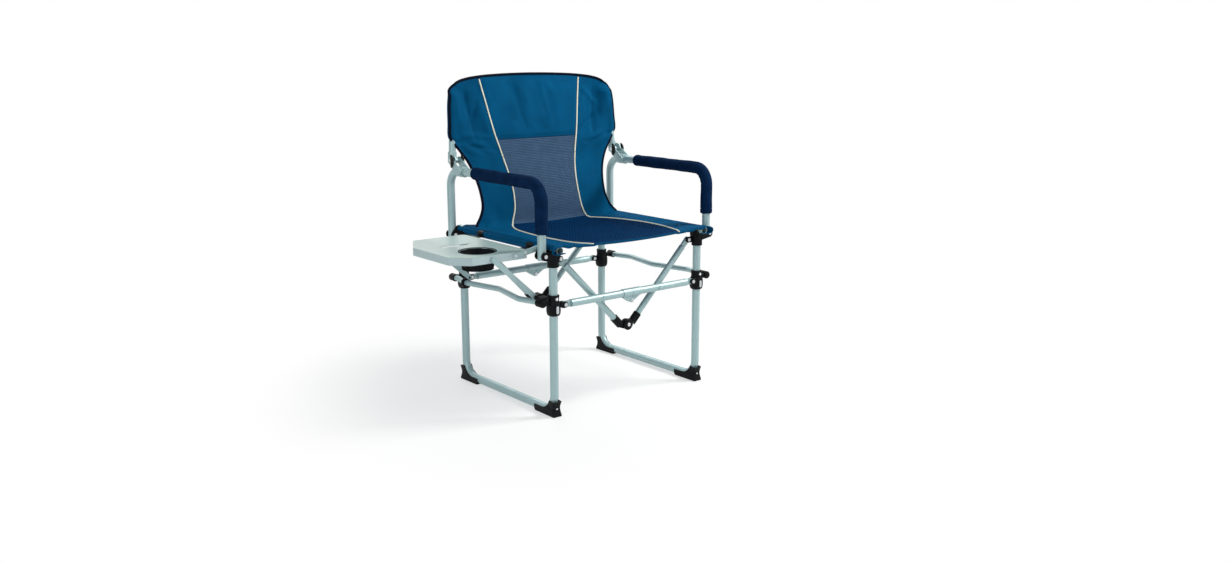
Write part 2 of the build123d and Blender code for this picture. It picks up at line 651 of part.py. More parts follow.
def back_half():
    """Half of the back panel: a sheet from the crease to a bowed top, with a pocket on the post."""
    edge_x = ARM_X + POCKET_RADIUS + GAP
    shoulder_x = post_point(BACK_SHOULDER_Z)[0] + POCKET_RADIUS + GAP
    top_y = post_point(BACK_TOP)[1]
    corner_mid = ((shoulder_x + BACK_CORNER_X) / 2 + BACK_CORNER_BOW,
                  (BACK_SHOULDER_Z + BACK_CORNER_Z) / 2 + BACK_CORNER_BOW)
    with BuildPart() as back:
        with BuildSketch(Plane.XY.offset(POST_PIN_Z)):
            with BuildLine():
                Polyline((-edge_x, POST_PIN_Y), (edge_x, POST_PIN_Y), (edge_x, POST_PIN_Y + CLOTH),
                         (-edge_x, POST_PIN_Y + CLOTH), close=True)
            make_face()
        with BuildSketch(Plane.XY.offset(BACK_TOP)):
            with BuildLine():
                front = ThreePointArc((-edge_x, top_y), (0, top_y + BACK_BULGE), (edge_x, top_y))
                rear = ThreePointArc((edge_x, top_y + CLOTH), (0, top_y + BACK_BULGE + CLOTH),
                                     (-edge_x, top_y + CLOTH))
                Line(front @ 1, rear @ 0)
                Line(rear @ 1, front @ 0)
            make_face()
        loft()
        add(rod(post_point(BACK_POCKET_Z), post_point(BACK_TOP), 2 * POCKET_RADIUS))
        with BuildSketch(Plane((0, 0, 0), x_dir=(1, 0, 0), z_dir=(0, -1, 0))):
            with BuildLine():
                Polyline((GAP / 2, BACK_TOP), (GAP / 2, POST_PIN_Z + GAP / 2), (CREASE_HALF, POST_PIN_Z + GAP / 2),
                         (ARM_X - POCKET_RADIUS - POST_LUG_WALL, BACK_POCKET_Z), (edge_x, BACK_POCKET_Z),
                         (shoulder_x, BACK_SHOULDER_Z))
                ThreePointArc((shoulder_x, BACK_SHOULDER_Z), corner_mid, (BACK_CORNER_X, BACK_CORNER_Z))
                ThreePointArc((BACK_CORNER_X, BACK_CORNER_Z),
                              (BACK_CORNER_X / 2, (3 * BACK_TOP + BACK_CORNER_Z) / 4), (GAP / 2, BACK_TOP))
            make_face()
        extrude(amount=2 * LEG_X, both=True, mode=Mode.INTERSECT)
        add(rod(post_point(POST_PIN_Z), post_point(POST_TOP + GAP), POST_DIA + 2 * GAP), mode=Mode.SUBTRACT)
    return back


def lumbar_half():
    """Half of the lower back: a sheet from the back's crease down to the sagging seat, drawn in at the waist."""
    top_z = POST_PIN_Z - GAP / 2
    seat_z = RAIL_Z + SLEEVE_RADIUS + GAP
    low_z = seat_z - SEAT_SAG
    mid_z = (top_z + low_z) / 2
    mid_y = (POST_PIN_Y + SEAT_CREASE) / 2 - LUMBAR_BOW
    with BuildPart() as lumbar:
        with BuildSketch(Plane((GAP / 2, 0, 0), x_dir=(0, 1, 0), z_dir=(1, 0, 0))):
            with BuildLine():
                front = ThreePointArc((POST_PIN_Y, top_z), (mid_y, mid_z), (SEAT_CREASE, low_z))
                rear = ThreePointArc((POST_PIN_Y + CLOTH, top_z), (mid_y + CLOTH, mid_z),
                                     (SEAT_CREASE + CLOTH, low_z))
                Line(front @ 0, rear @ 0)
                Line(front @ 1, rear @ 1)
            make_face()
        extrude(amount=LEG_X)
        with BuildSketch(Plane((0, 0, 0), x_dir=(1, 0, 0), z_dir=(0, -1, 0))):
            with BuildLine():
                side = ThreePointArc((CREASE_HALF, top_z), (WAIST_HALF, WAIST_Z), (LUMBAR_FLARE, seat_z))
                Polyline(side @ 1, (LUMBAR_FLARE, low_z), (0, low_z), (0, top_z), side @ 0)
            make_face()
        extrude(amount=2 * LEG_X, both=True, mode=Mode.INTERSECT)
        with BuildSketch(Plane((0, 0, 0), x_dir=(1, 0, 0), z_dir=(0, -1, 0))):
            with BuildLine():
                hem = ThreePointArc((-LEG_X, seat_z), (0, low_z), (LEG_X, seat_z))
                Polyline(hem @ 1, (LEG_X, 0), (-LEG_X, 0), hem @ 0)
            make_face()
        extrude(amount=2 * LEG_X, both=True, mode=Mode.SUBTRACT)
    return lumbar


def table_top():
    """Pressed table top on the left: chamfered outer corners, a turned-down flange, a cup hole and a slot."""
    outer = TABLE_INNER + TABLE_WIDTH
    with BuildPart() as top:
        with BuildSketch(Plane.XY.offset(TABLE_TOP_Z - TABLE_FLANGE)):
            Polygon(
                (-TABLE_INNER, -TABLE_FRONT),
                (-TABLE_INNER, TABLE_REAR),
                (-outer + TABLE_REAR_CUT_X, TABLE_REAR),
                (-outer, TABLE_REAR - TABLE_REAR_CUT_Y),
                (-outer, -TABLE_FRONT + TABLE_FRONT_CUT_Y),
                (-outer + TABLE_FRONT_CUT_X, -TABLE_FRONT),
                align=None,
            )
        extrude(amount=TABLE_FLANGE)
        fillet(top.edges().filter_by(Axis.Z), TABLE_ROUND)
        offset(amount=-TABLE_SHEET, openings=top.faces().sort_by(Axis.Z)[0])
        with Locations((-CUP_X, CUP_Y, TABLE_TOP_Z)):
            Cylinder(CUP_DIA / 2 + FIT, 4 * TABLE_SHEET, mode=Mode.SUBTRACT)
        for y in (HINGE_FRONT_Y, HINGE_REAR_Y):
            with Locations((-TABLE_INNER, y, TABLE_TOP_Z - TABLE_SHEET)):
                Box(4 * TABLE_SHEET, HINGE_WIDTH + 2 * FIT, STRAP_THICK + FIT,
                    align=(Align.CENTER, Align.CENTER, Align.MAX), mode=Mode.SUBTRACT)
            add(rod((-ROD_X, y - HINGE_WIDTH / 2 - FIT, ROD_Z), (-ROD_X, y + HINGE_WIDTH / 2 + FIT, ROD_Z),
                    BARREL_DIA + 2 * FIT), mode=Mode.SUBTRACT)
        with BuildSketch(Plane((-CUP_X, SLOT_Y, TABLE_TOP_Z))):
            SlotOverall(SLOT_LENGTH, SLOT_WIDTH)
        extrude(amount=-2 * TABLE_SHEET, mode=Mode.SUBTRACT)
    return top


def cup_holder():
    """Black net cup: a rim on the table, a wall and a bottom."""
    with BuildPart() as cup:
        with BuildSketch(Plane((-CUP_X, CUP_Y, 0), x_dir=(1, 0, 0), z_dir=(0, -1, 0))):
            with BuildLine():
                radius = CUP_DIA / 2
                low = TABLE_TOP_Z - CUP_DEPTH
                top = TABLE_TOP_Z + CUP_WALL
                Polyline(
                    (0, low),
                    (radius - CUP_RIM, low),
                    (radius, TABLE_TOP_Z),
                    (radius + CUP_RIM, TABLE_TOP_Z),
                    (radius + CUP_RIM, top),
                    (radius - CUP_WALL, top),
                    (radius - CUP_RIM - CUP_WALL, low + CUP_WALL),
                    (0, low + CUP_WALL),
                    close=True,
                )
            make_face()
        revolve(axis=Axis((-CUP_X, CUP_Y, 0), (0, 0, 1)))
    return cup


def table_hinges():
    """Two hinge straps under the table's inner edge, each with a barrel on the rod."""
    strap_top = TABLE_TOP_Z - TABLE_SHEET
    with BuildPart() as hinges:
        for y in (HINGE_FRONT_Y, HINGE_REAR_Y):
            add(rod((-ROD_X, y - HINGE_WIDTH / 2, ROD_Z), (-ROD_X, y + HINGE_WIDTH / 2, ROD_Z), BARREL_DIA))
            with Locations((-ROD_X, y, strap_top)):
                Box(TABLE_INNER + STRAP_LAP - ROD_X, HINGE_WIDTH, STRAP_THICK,
                    align=(Align.MAX, Align.CENTER, Align.MAX))
        bore_y(-ROD_X, ROD_Z, ROD_DIA / 2 + RUN)
    return hinges


def table_hinge_rod():
    reach = LEG_Y - CHEEK_GAP / 2
    with BuildPart() as bar:
        add(rod((-ROD_X, -reach, ROD_Z), (-ROD_X, reach, ROD_Z), ROD_DIA))
    return bar


def table_props():
    """Two flat props from the sliding side up to the table's flanges, each with a rivet head."""
    table_x = -ROD_X - PROP_REACH
    table_z = ROD_Z - PROP_DROP - (ROD_Z - TABLE_TOP_Z)
    front, rear = prop_plane()
    with BuildPart() as props:
        for y, head in ((front, front - HEAD_THICK), (rear, rear + PROP_THICK)):
            add(plate_y([(-PROP_X, PROP_Z, PROP_WIDTH / 2), (table_x, table_z, PROP_WIDTH / 2)], y, PROP_THICK))
            add(rod((table_x, head, table_z), (table_x, head + HEAD_THICK, table_z), PIN_HEAD))
        bore_y(-PROP_X, PROP_Z, PIN_HOLE)
    return props


def on_left(piece):
    """The mirror image of a right-hand piece."""
    with BuildPart() as mirrored:
        add(piece.part.mirror(Plane.YZ))
    return mirrored


def at_rear(piece):
    """The mirror image of a front piece."""
    with BuildPart() as mirrored:
        add(piece.part.mirror(Plane.XZ))
    return mirrored


def save(piece, node):
    piece.part.label = node
    export_step(piece.part, f"parts/{node}.step")


PAIRED = {
    "leg_frame": leg_frame(),
    "seat_rail": seat_rail(),
    "bracket_pins": bracket_pins(),
    "clamp_fittings": clamp_fittings(),
    "side_stretcher": side_stretcher(),
    "arm_tube": arm_tube(),
    "arm_foam": arm_foam(),
    "back_bracket": back_bracket(),
    "back_pin": back_pin(),
    "back_post": back_post(),
    "post_lug": post_lug(),
    "seat_sling": seat_half(),
    "back_sling": back_half(),
    "lumbar_sling": lumbar_half(),
}
for name, right in PAIRED.items():
    save(right, f"right_{name}")
    save(on_left(right), f"left_{name}")

FOUR_CORNERS = {"foot": foot(), "crossbar": crossbar(), "strut": strut()}
for name, front_right in FOUR_CORNERS.items():
    for side, front in (("right", front_right), ("left", on_left(front_right))):
        save(front, f"{side}_front_{name}")
        save(at_rear(front), f"{side}_rear_{name}")

for side, bracket in (("right", top_bracket()), ("left", on_left(table_side_bracket()))):
    save(bracket, f"{side}_front_bracket")
    save(at_rear(bracket), f"{side}_rear_bracket")

plain_clamp = clamp()
save(plain_clamp, "right_front_clamp")
save(at_rear(plain_clamp), "right_rear_clamp")
save(on_left(at_rear(plain_clamp)), "left_rear_clamp")
save(on_left(table_side_clamp()), "left_front_clamp")
save(on_left(rear_prop_clip()), "rear_prop_clip")

save(knuckles("right"), "right_knuckles")
save(on_left(knuckles("left")), "left_knuckles")
save(knuckle_pins(), "knuckle_pins")
save(strut_hinges("right"), "right_strut_hinges")
save(on_left(strut_hinges("left")), "left_strut_hinges")

save(table_top(), "table_top")
save(cup_holder(), "cup_holder")
save(table_hinges(), "table_hinges")
save(table_hinge_rod(), "table_hinge_rod")
save(table_props(), "table_props")
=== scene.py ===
"""Folding camp chair with a side table: cloth, foam sleeves, net cup, moulded fittings, finishes, floor and
light.

Shapes are written in millimetres in the chair's own frame (x across, -y front, z up) and become metres in
piece()."""
from functools import partial
from math import cos, pi, radians, sin

import bpy
import numpy as np
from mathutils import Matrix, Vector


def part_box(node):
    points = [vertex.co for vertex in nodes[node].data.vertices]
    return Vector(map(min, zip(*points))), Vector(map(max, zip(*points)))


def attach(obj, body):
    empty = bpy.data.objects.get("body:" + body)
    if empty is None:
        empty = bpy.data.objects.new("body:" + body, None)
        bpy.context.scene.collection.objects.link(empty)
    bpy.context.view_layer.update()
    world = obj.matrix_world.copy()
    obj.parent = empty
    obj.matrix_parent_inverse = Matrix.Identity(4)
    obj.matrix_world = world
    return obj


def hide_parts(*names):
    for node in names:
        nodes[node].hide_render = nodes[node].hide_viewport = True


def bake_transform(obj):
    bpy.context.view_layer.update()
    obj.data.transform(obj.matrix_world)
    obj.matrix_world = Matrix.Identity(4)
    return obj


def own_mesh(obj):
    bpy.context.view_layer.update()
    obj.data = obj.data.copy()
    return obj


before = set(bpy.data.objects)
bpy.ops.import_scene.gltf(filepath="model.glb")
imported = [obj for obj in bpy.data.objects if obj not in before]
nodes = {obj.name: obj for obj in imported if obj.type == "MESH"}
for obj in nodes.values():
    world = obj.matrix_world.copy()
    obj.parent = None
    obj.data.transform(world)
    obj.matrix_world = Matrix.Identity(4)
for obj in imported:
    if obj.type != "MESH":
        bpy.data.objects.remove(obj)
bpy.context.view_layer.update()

HANDS = ((-1, "left"), (1, "right"))
ENDS = ((-1, "front"), (1, "rear"))
FORWARD, UPWARD = (0, -1, 0), (0, 0, 1)

# ---------------------------------------------------------------- working with grids


def ramp(low, high, x):
    """Smooth step: 0 below low, 1 above high, 3t^2 - 2t^3 of the share t between them."""
    t = np.clip((np.asarray(x, float) - low) / (high - low), 0, 1)
    return t * t * (3 - 2 * t)


def drawn_curve(x, knots, heights):
    """Curve through the knots: each span is the Hermite cubic whose end slopes are the mean slopes at its
    knots."""
    knots, heights = np.asarray(knots, float), np.asarray(heights, float)
    slope = np.gradient(heights, knots)
    x = np.clip(x, knots[0], knots[-1])
    k = np.clip(np.searchsorted(knots, x, side="right") - 1, 0, len(knots) - 2)
    span = knots[k + 1] - knots[k]
    t = (x - knots[k]) / span
    return ((1 + 2 * t) * (1 - t) ** 2 * heights[k] + t * (1 - t) ** 2 * span * slope[k]
            + t * t * (3 - 2 * t) * heights[k + 1] + t * t * (t - 1) * span * slope[k + 1])


def unit(v):
    """Vectors divided by their own length."""
    return v / np.maximum(np.linalg.norm(v, axis=-1, keepdims=True), 1e-12)


def circle(sides):
    """Angles of the points of a ring."""
    return np.linspace(0, 2 * pi, sides, endpoint=False)


def grid_quads(rows, cols, ring=False):
    """Quads between neighbouring points of a rows x cols grid; with ring, the last column joins the first."""
    r = np.arange(rows - 1)[:, None] * cols
    c = np.arange(cols if ring else cols - 1)[None, :]
    d = (c + 1) % cols
    return np.stack([r + c, r + d, r + cols + d, r + cols + c], -1).reshape(-1, 4)


def looped(rows, cols):
    """Quads of a grid of rings whose last ring also joins its first."""
    return grid_quads(rows + 1, cols, ring=True) % (rows * cols)


def capped(rows, cols, way=1):
    """Faces of a grid of rings with its first and last rings capped; way -1 turns them all round."""
    faces = grid_quads(rows, cols, ring=True)[:, ::-1].tolist()
    faces += [list(range(cols)), list(range(rows * cols - 1, (rows - 1) * cols - 1, -1))]
    return [f[::way] for f in faces]


def piece(name, points, faces, finishes, uv=None, index=None, sharp=38):
    """Object at the origin: points in mm become metres, uv (metres, one per point) is handed to each face
    corner, index gives each face its finish, and edges that turn more than `sharp` degrees stay crisp."""
    mesh = bpy.data.meshes.new(name)
    mesh.from_pydata((np.asarray(points, float).reshape(-1, 3) * 0.001).tolist(), [], faces)
    for each in finishes if isinstance(finishes, (list, tuple)) else [finishes]:
        mesh.materials.append(each)
    if index is not None:
        mesh.polygons.foreach_set("material_index", np.asarray(index, np.int32))
    if uv is not None:
        corner = np.zeros(len(mesh.loops), np.int32)
        mesh.loops.foreach_get("vertex_index", corner)
        layer = mesh.uv_layers.new(name="thread")
        layer.data.foreach_set("uv", np.asarray(uv, np.float32).reshape(-1, 2)[corner].ravel())
    mesh.polygons.foreach_set("use_smooth", np.ones(len(mesh.polygons), bool))
    mesh.update()
    mesh.set_sharp_from_angle(angle=radians(sharp))
    obj = bpy.data.objects.new(name, mesh)
    bpy.context.scene.collection.objects.link(obj)
    return obj


def settled(obj, body):
    """The object riding on a body of the frame."""
    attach(obj, body)
    return obj


def box_mm(label):
    """Lowest and highest corner of a solid of the frame, in mm."""
    return (np.array(corner) * 1000 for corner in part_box(label))


def walled(outer, inner):
    """Closed wall between two grids of one size: the outer face, the inner face turned round and a rim along
    the border. Returns the points, the faces and how many of the last faces are the rim."""
    rows, cols = outer.shape[:2]
    quads, total = grid_quads(rows, cols), rows * cols
    border = np.concatenate([np.arange(cols), np.arange(2 * cols - 1, total, cols),
                             np.arange(total - 2, total - cols - 1, -1),
                             np.arange(total - 2 * cols, 0, -cols)])
    after = np.roll(border, -1)
    rim = np.stack([after, border, border + total, after + total], -1)
    points = np.concatenate([outer.reshape(-1, 3), inner.reshape(-1, 3)])
    return points, np.concatenate([quads, quads[:, ::-1] + total, rim]).tolist(), len(rim)


def cloth_shell(name, P, uv, index, finishes, thick=1.3):
    """Closed sheet: the grid P is its outer face and the inner face lies `thick` below it along the cross
    product of the grid's two slopes. Returns the object and the outer face's area in m2."""
    n = unit(np.cross(np.gradient(P, axis=1), np.gradient(P, axis=0)))
    points, faces, rim = walled(P, P - n * thick)
    flat = P.reshape(-1, 3)[grid_quads(*P.shape[:2])]
    diagonals = np.cross(flat[:, 2] - flat[:, 0], flat[:, 3] - flat[:, 1])
    area = 0.5 * np.linalg.norm(diagonals, axis=1).sum() * 1e-6
    obj = piece(name, points, faces, finishes, np.concatenate([uv.reshape(-1, 2)] * 2),
                np.concatenate([index, index, np.zeros(rim, int)]))
    return obj, area


def rolled(path, radius, sides=8, up=UPWARD, squeeze=1.0):
    """Round section carried along a path: t is the path's direction, n = t x up, b = n x t, and each ring is
    path + r (n cos a + squeeze b sin a). Returns the points and faces, with both ends capped."""
    path = np.asarray(path, float)
    t = unit(np.gradient(path, axis=0))
    n = unit(np.cross(t, np.broadcast_to(np.asarray(up, float), t.shape)))
    b = np.cross(n, t)
    a = circle(sides)
    r = np.broadcast_to(np.asarray(radius, float), (len(path),))[:, None, None]
    ring = path[:, None] + r * (n[:, None] * np.cos(a)[None, :, None]
                                + squeeze * b[:, None] * np.sin(a)[None, :, None])
    return ring.reshape(-1, 3), capped(len(path), sides)


def joined(parts):
    """Several (points, faces) lists as one, each list's face numbers moved up by the points before it."""
    starts = np.cumsum([0] + [len(points) for points, _ in parts])
    faces = [[v + int(s) for v in f] for (_, some), s in zip(parts, starts) for f in some]
    return np.concatenate([points for points, _ in parts]), faces


def even(path, gap):
    """The path's points again, at equal distances of about `gap` along it, read off by its running length."""
    run = np.concatenate([[0], np.cumsum(np.linalg.norm(np.diff(path, axis=0), axis=1))])
    at = np.linspace(0, run[-1], max(int(run[-1] / gap), 2) + 1)
    return np.stack([np.interp(at, run, path[:, k]) for k in range(3)], -1)


def stitches(path, outward, pitch=4.2, length=3.0, width=0.75):
    """Thread seen on top of a seam: at each pitch a lozenge of four six-sided rings lies along the path, its
    middle `width` wide, half sunk in the cloth along the outward direction."""
    at = even(path, pitch)
    t = unit(np.gradient(at, axis=0))
    o = unit(np.broadcast_to(np.asarray(outward, float), t.shape))
    s = unit(np.cross(t, o))
    o = np.cross(s, t)
    along = np.array([-0.5, -0.36, 0.36, 0.5]) * length
    thick = np.array([0.25, 0.5, 0.5, 0.25]) * width
    a = circle(6)[None, None, :, None]
    at, t, s, o = (v[:, None, None] for v in (at, t, s, o))
    ring = (at + t * along[None, :, None, None]
            + thick[None, :, None, None] * (s * np.cos(a) + 0.8 * o * np.sin(a)))
    return joined([(one.reshape(-1, 3), capped(4, 6)) for one in ring])


# ---------------------------------------------------------------- finishes


def feed(tree, slots, values):
    """Gives each slot its value: a number as it is, a socket by a link."""
    for slot, value in zip(slots, values):
        if isinstance(value, (int, float)):
            slot.default_value = value
        else:
            tree.links.new(value, slot)


def sums(tree, operation, *values):
    """One Math node; each value is a number or a socket."""
    node = tree.nodes.new("ShaderNodeMath")
    node.operation = operation
    feed(tree, node.inputs, values)
    return node.outputs[0]


def spread(tree, value, low, high, to_low, to_high, smooth=True):
    """Map Range node from low..high to to_low..to_high, each a number or a socket, along a smooth step."""
    node = tree.nodes.new("ShaderNodeMapRange")
    node.interpolation_type = "SMOOTHSTEP" if smooth else "LINEAR"
    feed(tree, node.inputs, (value, low, high, to_low, to_high))
    return node.outputs[0]


def axes(tree, place):
    """The x, y and z of a vector socket."""
    node = tree.nodes.new("ShaderNodeSeparateXYZ")
    tree.links.new(place, node.inputs[0])
    return node.outputs


def shader_group(name, result, **numbers):
    """Shader node group that takes a Place and some numbers and gives one number: the tree, its given
    sockets, the socket of its result and a shorthand for Math nodes in it."""
    tree = bpy.data.node_groups.new(name, "ShaderNodeTree")
    tree.interface.new_socket("Place", in_out="INPUT", socket_type="NodeSocketVector")
    for label, value in numbers.items():
        made = tree.interface.new_socket(label, in_out="INPUT", socket_type="NodeSocketFloat")
        made.default_value = value
    tree.interface.new_socket(result, in_out="OUTPUT", socket_type="NodeSocketFloat")
    given, out = tree.nodes.new("NodeGroupInput"), tree.nodes.new("NodeGroupOutput")
    return tree, given.outputs, out.inputs[result], partial(sums, tree)


def woven_threads():
    """Plain weave: with a = X/pitch and b = Y/pitch, a thread's round back is sin(pi fract a) or sin(pi fract
    b); which one lies on top changes from cell to cell with the parity of floor a + floor b."""
    tree, given, result, m = shader_group("woven_threads", "Height", Pitch=0.001)
    x, y, _ = axes(tree, given["Place"])
    a, b = m("DIVIDE", x, given["Pitch"]), m("DIVIDE", y, given["Pitch"])
    warp, weft = (m("SINE", m("MULTIPLY", m("FRACT", each), pi)) for each in (a, b))
    over = m("PINGPONG", m("ADD", m("FLOOR", a), m("FLOOR", b)), 1.0)
    top = m("MULTIPLY", m("MULTIPLY", warp, over), m("MULTIPLY_ADD", weft, 0.45, 0.55))
    under = m("MULTIPLY", m("MULTIPLY", weft, m("SUBTRACT", 1.0, over)), m("MULTIPLY_ADD", warp, 0.45, 0.55))
    tree.links.new(m("ADD", top, under), result)
    return tree


def open_cells():
    """Spacer mesh: rows of round holes, every second row moved by half a pitch; Hole is 1 inside a hole."""
    row = 0.866                            # distance of the rows for a pitch of 1
    tree, given, result, m = shader_group("open_cells", "Hole", Pitch=0.003)
    x, y, _ = axes(tree, given["Place"])
    a, b = m("DIVIDE", x, given["Pitch"]), m("DIVIDE", y, m("MULTIPLY", given["Pitch"], row))
    shift = m("MULTIPLY", m("PINGPONG", m("FLOOR", b), 1.0), 0.5)
    da = m("SUBTRACT", m("FRACT", m("ADD", a, shift)), 0.5)
    db = m("MULTIPLY", m("SUBTRACT", m("FRACT", b), 0.5), row)
    far = m("SQRT", m("ADD", m("MULTIPLY", da, da), m("MULTIPLY", db, db)))
    tree.links.new(spread(tree, far, 0.2, 0.36, 1.0, 0.0), result)
    return tree


def zigzag_ribs():
    """Knitted ribs: with zig = pingpong(Y/wave, 0.5), the height is the absolute sine of pi (X/pitch + 2
    zig)."""
    tree, given, result, m = shader_group("zigzag_ribs", "Height", Pitch=0.006, Wave=0.016)
    x, y, _ = axes(tree, given["Place"])
    zig = m("PINGPONG", m("DIVIDE", y, given["Wave"]), 0.5)
    turn = m("MULTIPLY_ADD", zig, 2.0, m("DIVIDE", x, given["Pitch"]))
    tree.links.new(m("ABSOLUTE", m("SINE", m("MULTIPLY", turn, pi))), result)
    return tree


def noise(tree, place, scale, detail=None):
    """Noise node's value at a place; scale is a number or a socket."""
    node = tree.nodes.new("ShaderNodeTexNoise")
    if detail is not None:
        node.inputs["Detail"].default_value = detail
    tree.links.new(place, node.inputs["Vector"])
    feed(tree, [node.inputs["Scale"]], [scale])
    return node.outputs[0]


def uneven_tone():
    """Slow unevenness: noise at Scale, spread over Low..High."""
    tree, given, result, _ = shader_group("uneven_tone", "Value", Scale=12.0, Low=0.85, High=1.1)
    value = noise(tree, given["Place"], given["Scale"], 3.0)
    tree.links.new(spread(tree, value, 0.3, 0.7, given["Low"], given["High"], False), result)
    return tree


def handling_marks():
    """Light scuffs: noise drawn out along Z and kept only where it passes a threshold, broken up by a second
    noise."""
    tree, given, result, m = shader_group("handling_marks", "Mark", Scale=60.0)
    drawn = tree.nodes.new("ShaderNodeMapping")
    drawn.inputs["Scale"].default_value = (1.0, 1.0, 0.12)
    tree.links.new(given["Place"], drawn.inputs["Vector"])
    fine = noise(tree, drawn.outputs[0], given["Scale"], 4.0)
    broad = noise(tree, given["Place"], 9.0)
    lines, patches = spread(tree, fine, 0.6, 0.74, 0.0, 1.0), spread(tree, broad, 0.45, 0.62, 0.0, 1.0)
    tree.links.new(m("MULTIPLY", lines, patches), result)
    return tree


WEAVE, CELLS, RIBS = woven_threads(), open_cells(), zigzag_ribs()
TONE, MARKS = uneven_tone(), handling_marks()


def placed(tree, group, place, **values):
    """A group's node in a material, with its place linked and its other inputs set."""
    node = tree.nodes.new("ShaderNodeGroup")
    node.node_tree = group
    tree.links.new(place, node.inputs["Place"])
    for label, value in values.items():
        node.inputs[label].default_value = value
    return node.outputs[0]


def tinted(tree, share, dark, light):
    """Colour between dark and light by share; each is a colour or a socket."""
    mix = tree.nodes.new("ShaderNodeMix")
    mix.data_type = "RGBA"
    for socket, value in ((mix.inputs[6], dark), (mix.inputs[7], light)):
        if isinstance(value, tuple):
            socket.default_value = (*value, 1)
        else:
            tree.links.new(value, socket)
    tree.links.new(share, mix.inputs[0])
    return mix.outputs[2]


def bare_finish(name, roughness, metallic=0.0, specular=0.5):
    """Material with its Principled shader's constant sockets set: the material, its tree, the shader, the
    place on the cloth (UV) and the place on the object."""
    made = bpy.data.materials.new(name)
    made.use_nodes = True
    tree = made.node_tree
    shade = tree.nodes["Principled BSDF"]
    for label, value in (("Roughness", roughness), ("Metallic", metallic), ("Specular IOR Level", specular)):
        shade.inputs[label].default_value = value
    at = tree.nodes.new("ShaderNodeTexCoord").outputs
    return made, tree, shade.inputs, at["UV"], at["Object"]


def raised(tree, shade, height, distance):
    """Bump from a height socket into the shader's normal; distance in metres."""
    bump = tree.nodes.new("ShaderNodeBump")
    bump.inputs["Strength"].default_value = 1.0
    bump.inputs["Distance"].default_value = distance
    tree.links.new(height, bump.inputs["Height"])
    tree.links.new(bump.outputs[0], shade["Normal"])


def times(colour, k):
    """Colour scaled by k."""
    return tuple(min(c * k, 1.0) for c in colour)


def oxford_cloth(name, colour, pitch=0.0011, roughness=0.74):
    """Woven polyester: painted shade between the threads, slow unevenness of the dye, weave in the bump."""
    made, tree, shade, cloth, place = bare_finish(name, roughness, specular=0.03)
    height = placed(tree, WEAVE, cloth, Pitch=pitch)
    tone = placed(tree, TONE, place, Scale=16.0, Low=0.0, High=1.0)
    thread = tinted(tree, tone, times(colour, 0.84), times(colour, 1.16))
    # painted shade: where the weave is low, between the threads, the colour falls to 0.6 of the thread's
    gap = spread(tree, height, 0.1, 0.75, 0.0, 1.0)
    tree.links.new(tinted(tree, gap, times(colour, 0.6), thread), shade["Base Color"])
    drift = placed(tree, TONE, place, Scale=40.0, Low=roughness - 0.06, High=roughness + 0.08)
    tree.links.new(drift, shade["Roughness"])
    raised(tree, shade, height, 0.00025)
    return made


def spacer_mesh(name, colour, hole, pitch):
    """Open knit: yarn colour, round cells painted dark as shade, sunk in the bump, and a slow unevenness."""
    made, tree, shade, cloth, place = bare_finish(name, 0.85, specular=0.03)
    cell = placed(tree, CELLS, cloth, Pitch=pitch)
    tone = placed(tree, TONE, place, Scale=70.0, Low=0.0, High=1.0)
    yarn = tinted(tree, tone, times(colour, 0.88), times(colour, 1.12))
    # painted shade: the cells take the dark `hole` colour
    tree.links.new(tinted(tree, cell, yarn, hole), shade["Base Color"])
    raised(tree, shade, sums(tree, "SUBTRACT", 1.0, cell), 0.0006)
    return made


def ribbed_mesh(name, colour, valley_shade):
    """Padded knit: zigzag ribs painted lit on top, painted shade in the valleys and in tiny cells on the ribs.
    """
    made, tree, shade, cloth, place = bare_finish(name, 0.85, specular=0.02)
    rib = placed(tree, RIBS, cloth, Pitch=0.009, Wave=0.024)
    cell = placed(tree, CELLS, cloth, Pitch=0.0024)
    tone = placed(tree, TONE, place, Scale=14.0, Low=0.8, High=1.1)
    # painted light and shade: rib height lightens the colour towards the top, the cells darken it
    lit = sums(tree, "MULTIPLY", spread(tree, rib, 0.05, 0.8, 0.0, 1.0),
               sums(tree, "MULTIPLY_ADD", cell, -0.45, 1.0))
    tree.links.new(tinted(tree, sums(tree, "MULTIPLY", lit, tone), valley_shade, colour), shade["Base Color"])
    raised(tree, shade, sums(tree, "MULTIPLY_ADD", cell, -0.25, rib), 0.0011)
    return made


def sleeve_knit(name, colour):
    """Fine knit over foam: small ribs round the sleeve with a matt, uneven dye."""
    made, tree, shade, cloth, place = bare_finish(name, 0.85, specular=0.03)
    tone = placed(tree, TONE, place, Scale=30.0, Low=0.0, High=1.0)
    tree.links.new(tinted(tree, tone, times(colour, 0.75), times(colour, 1.25)), shade["Base Color"])
    raised(tree, shade, placed(tree, WEAVE, cloth, Pitch=0.0013), 0.00022)
    return made


def plain_thread(name, colour, roughness=0.6):
    """Cord, tape and thread: uneven dye and a fine grain."""
    made, tree, shade, _, place = bare_finish(name, roughness, specular=0.06)
    tone = placed(tree, TONE, place, Scale=420.0, Low=0.0, High=1.0)
    tree.links.new(tinted(tree, tone, times(colour, 0.78), times(colour, 1.1)), shade["Base Color"])
    raised(tree, shade, tone, 0.0002)
    return made


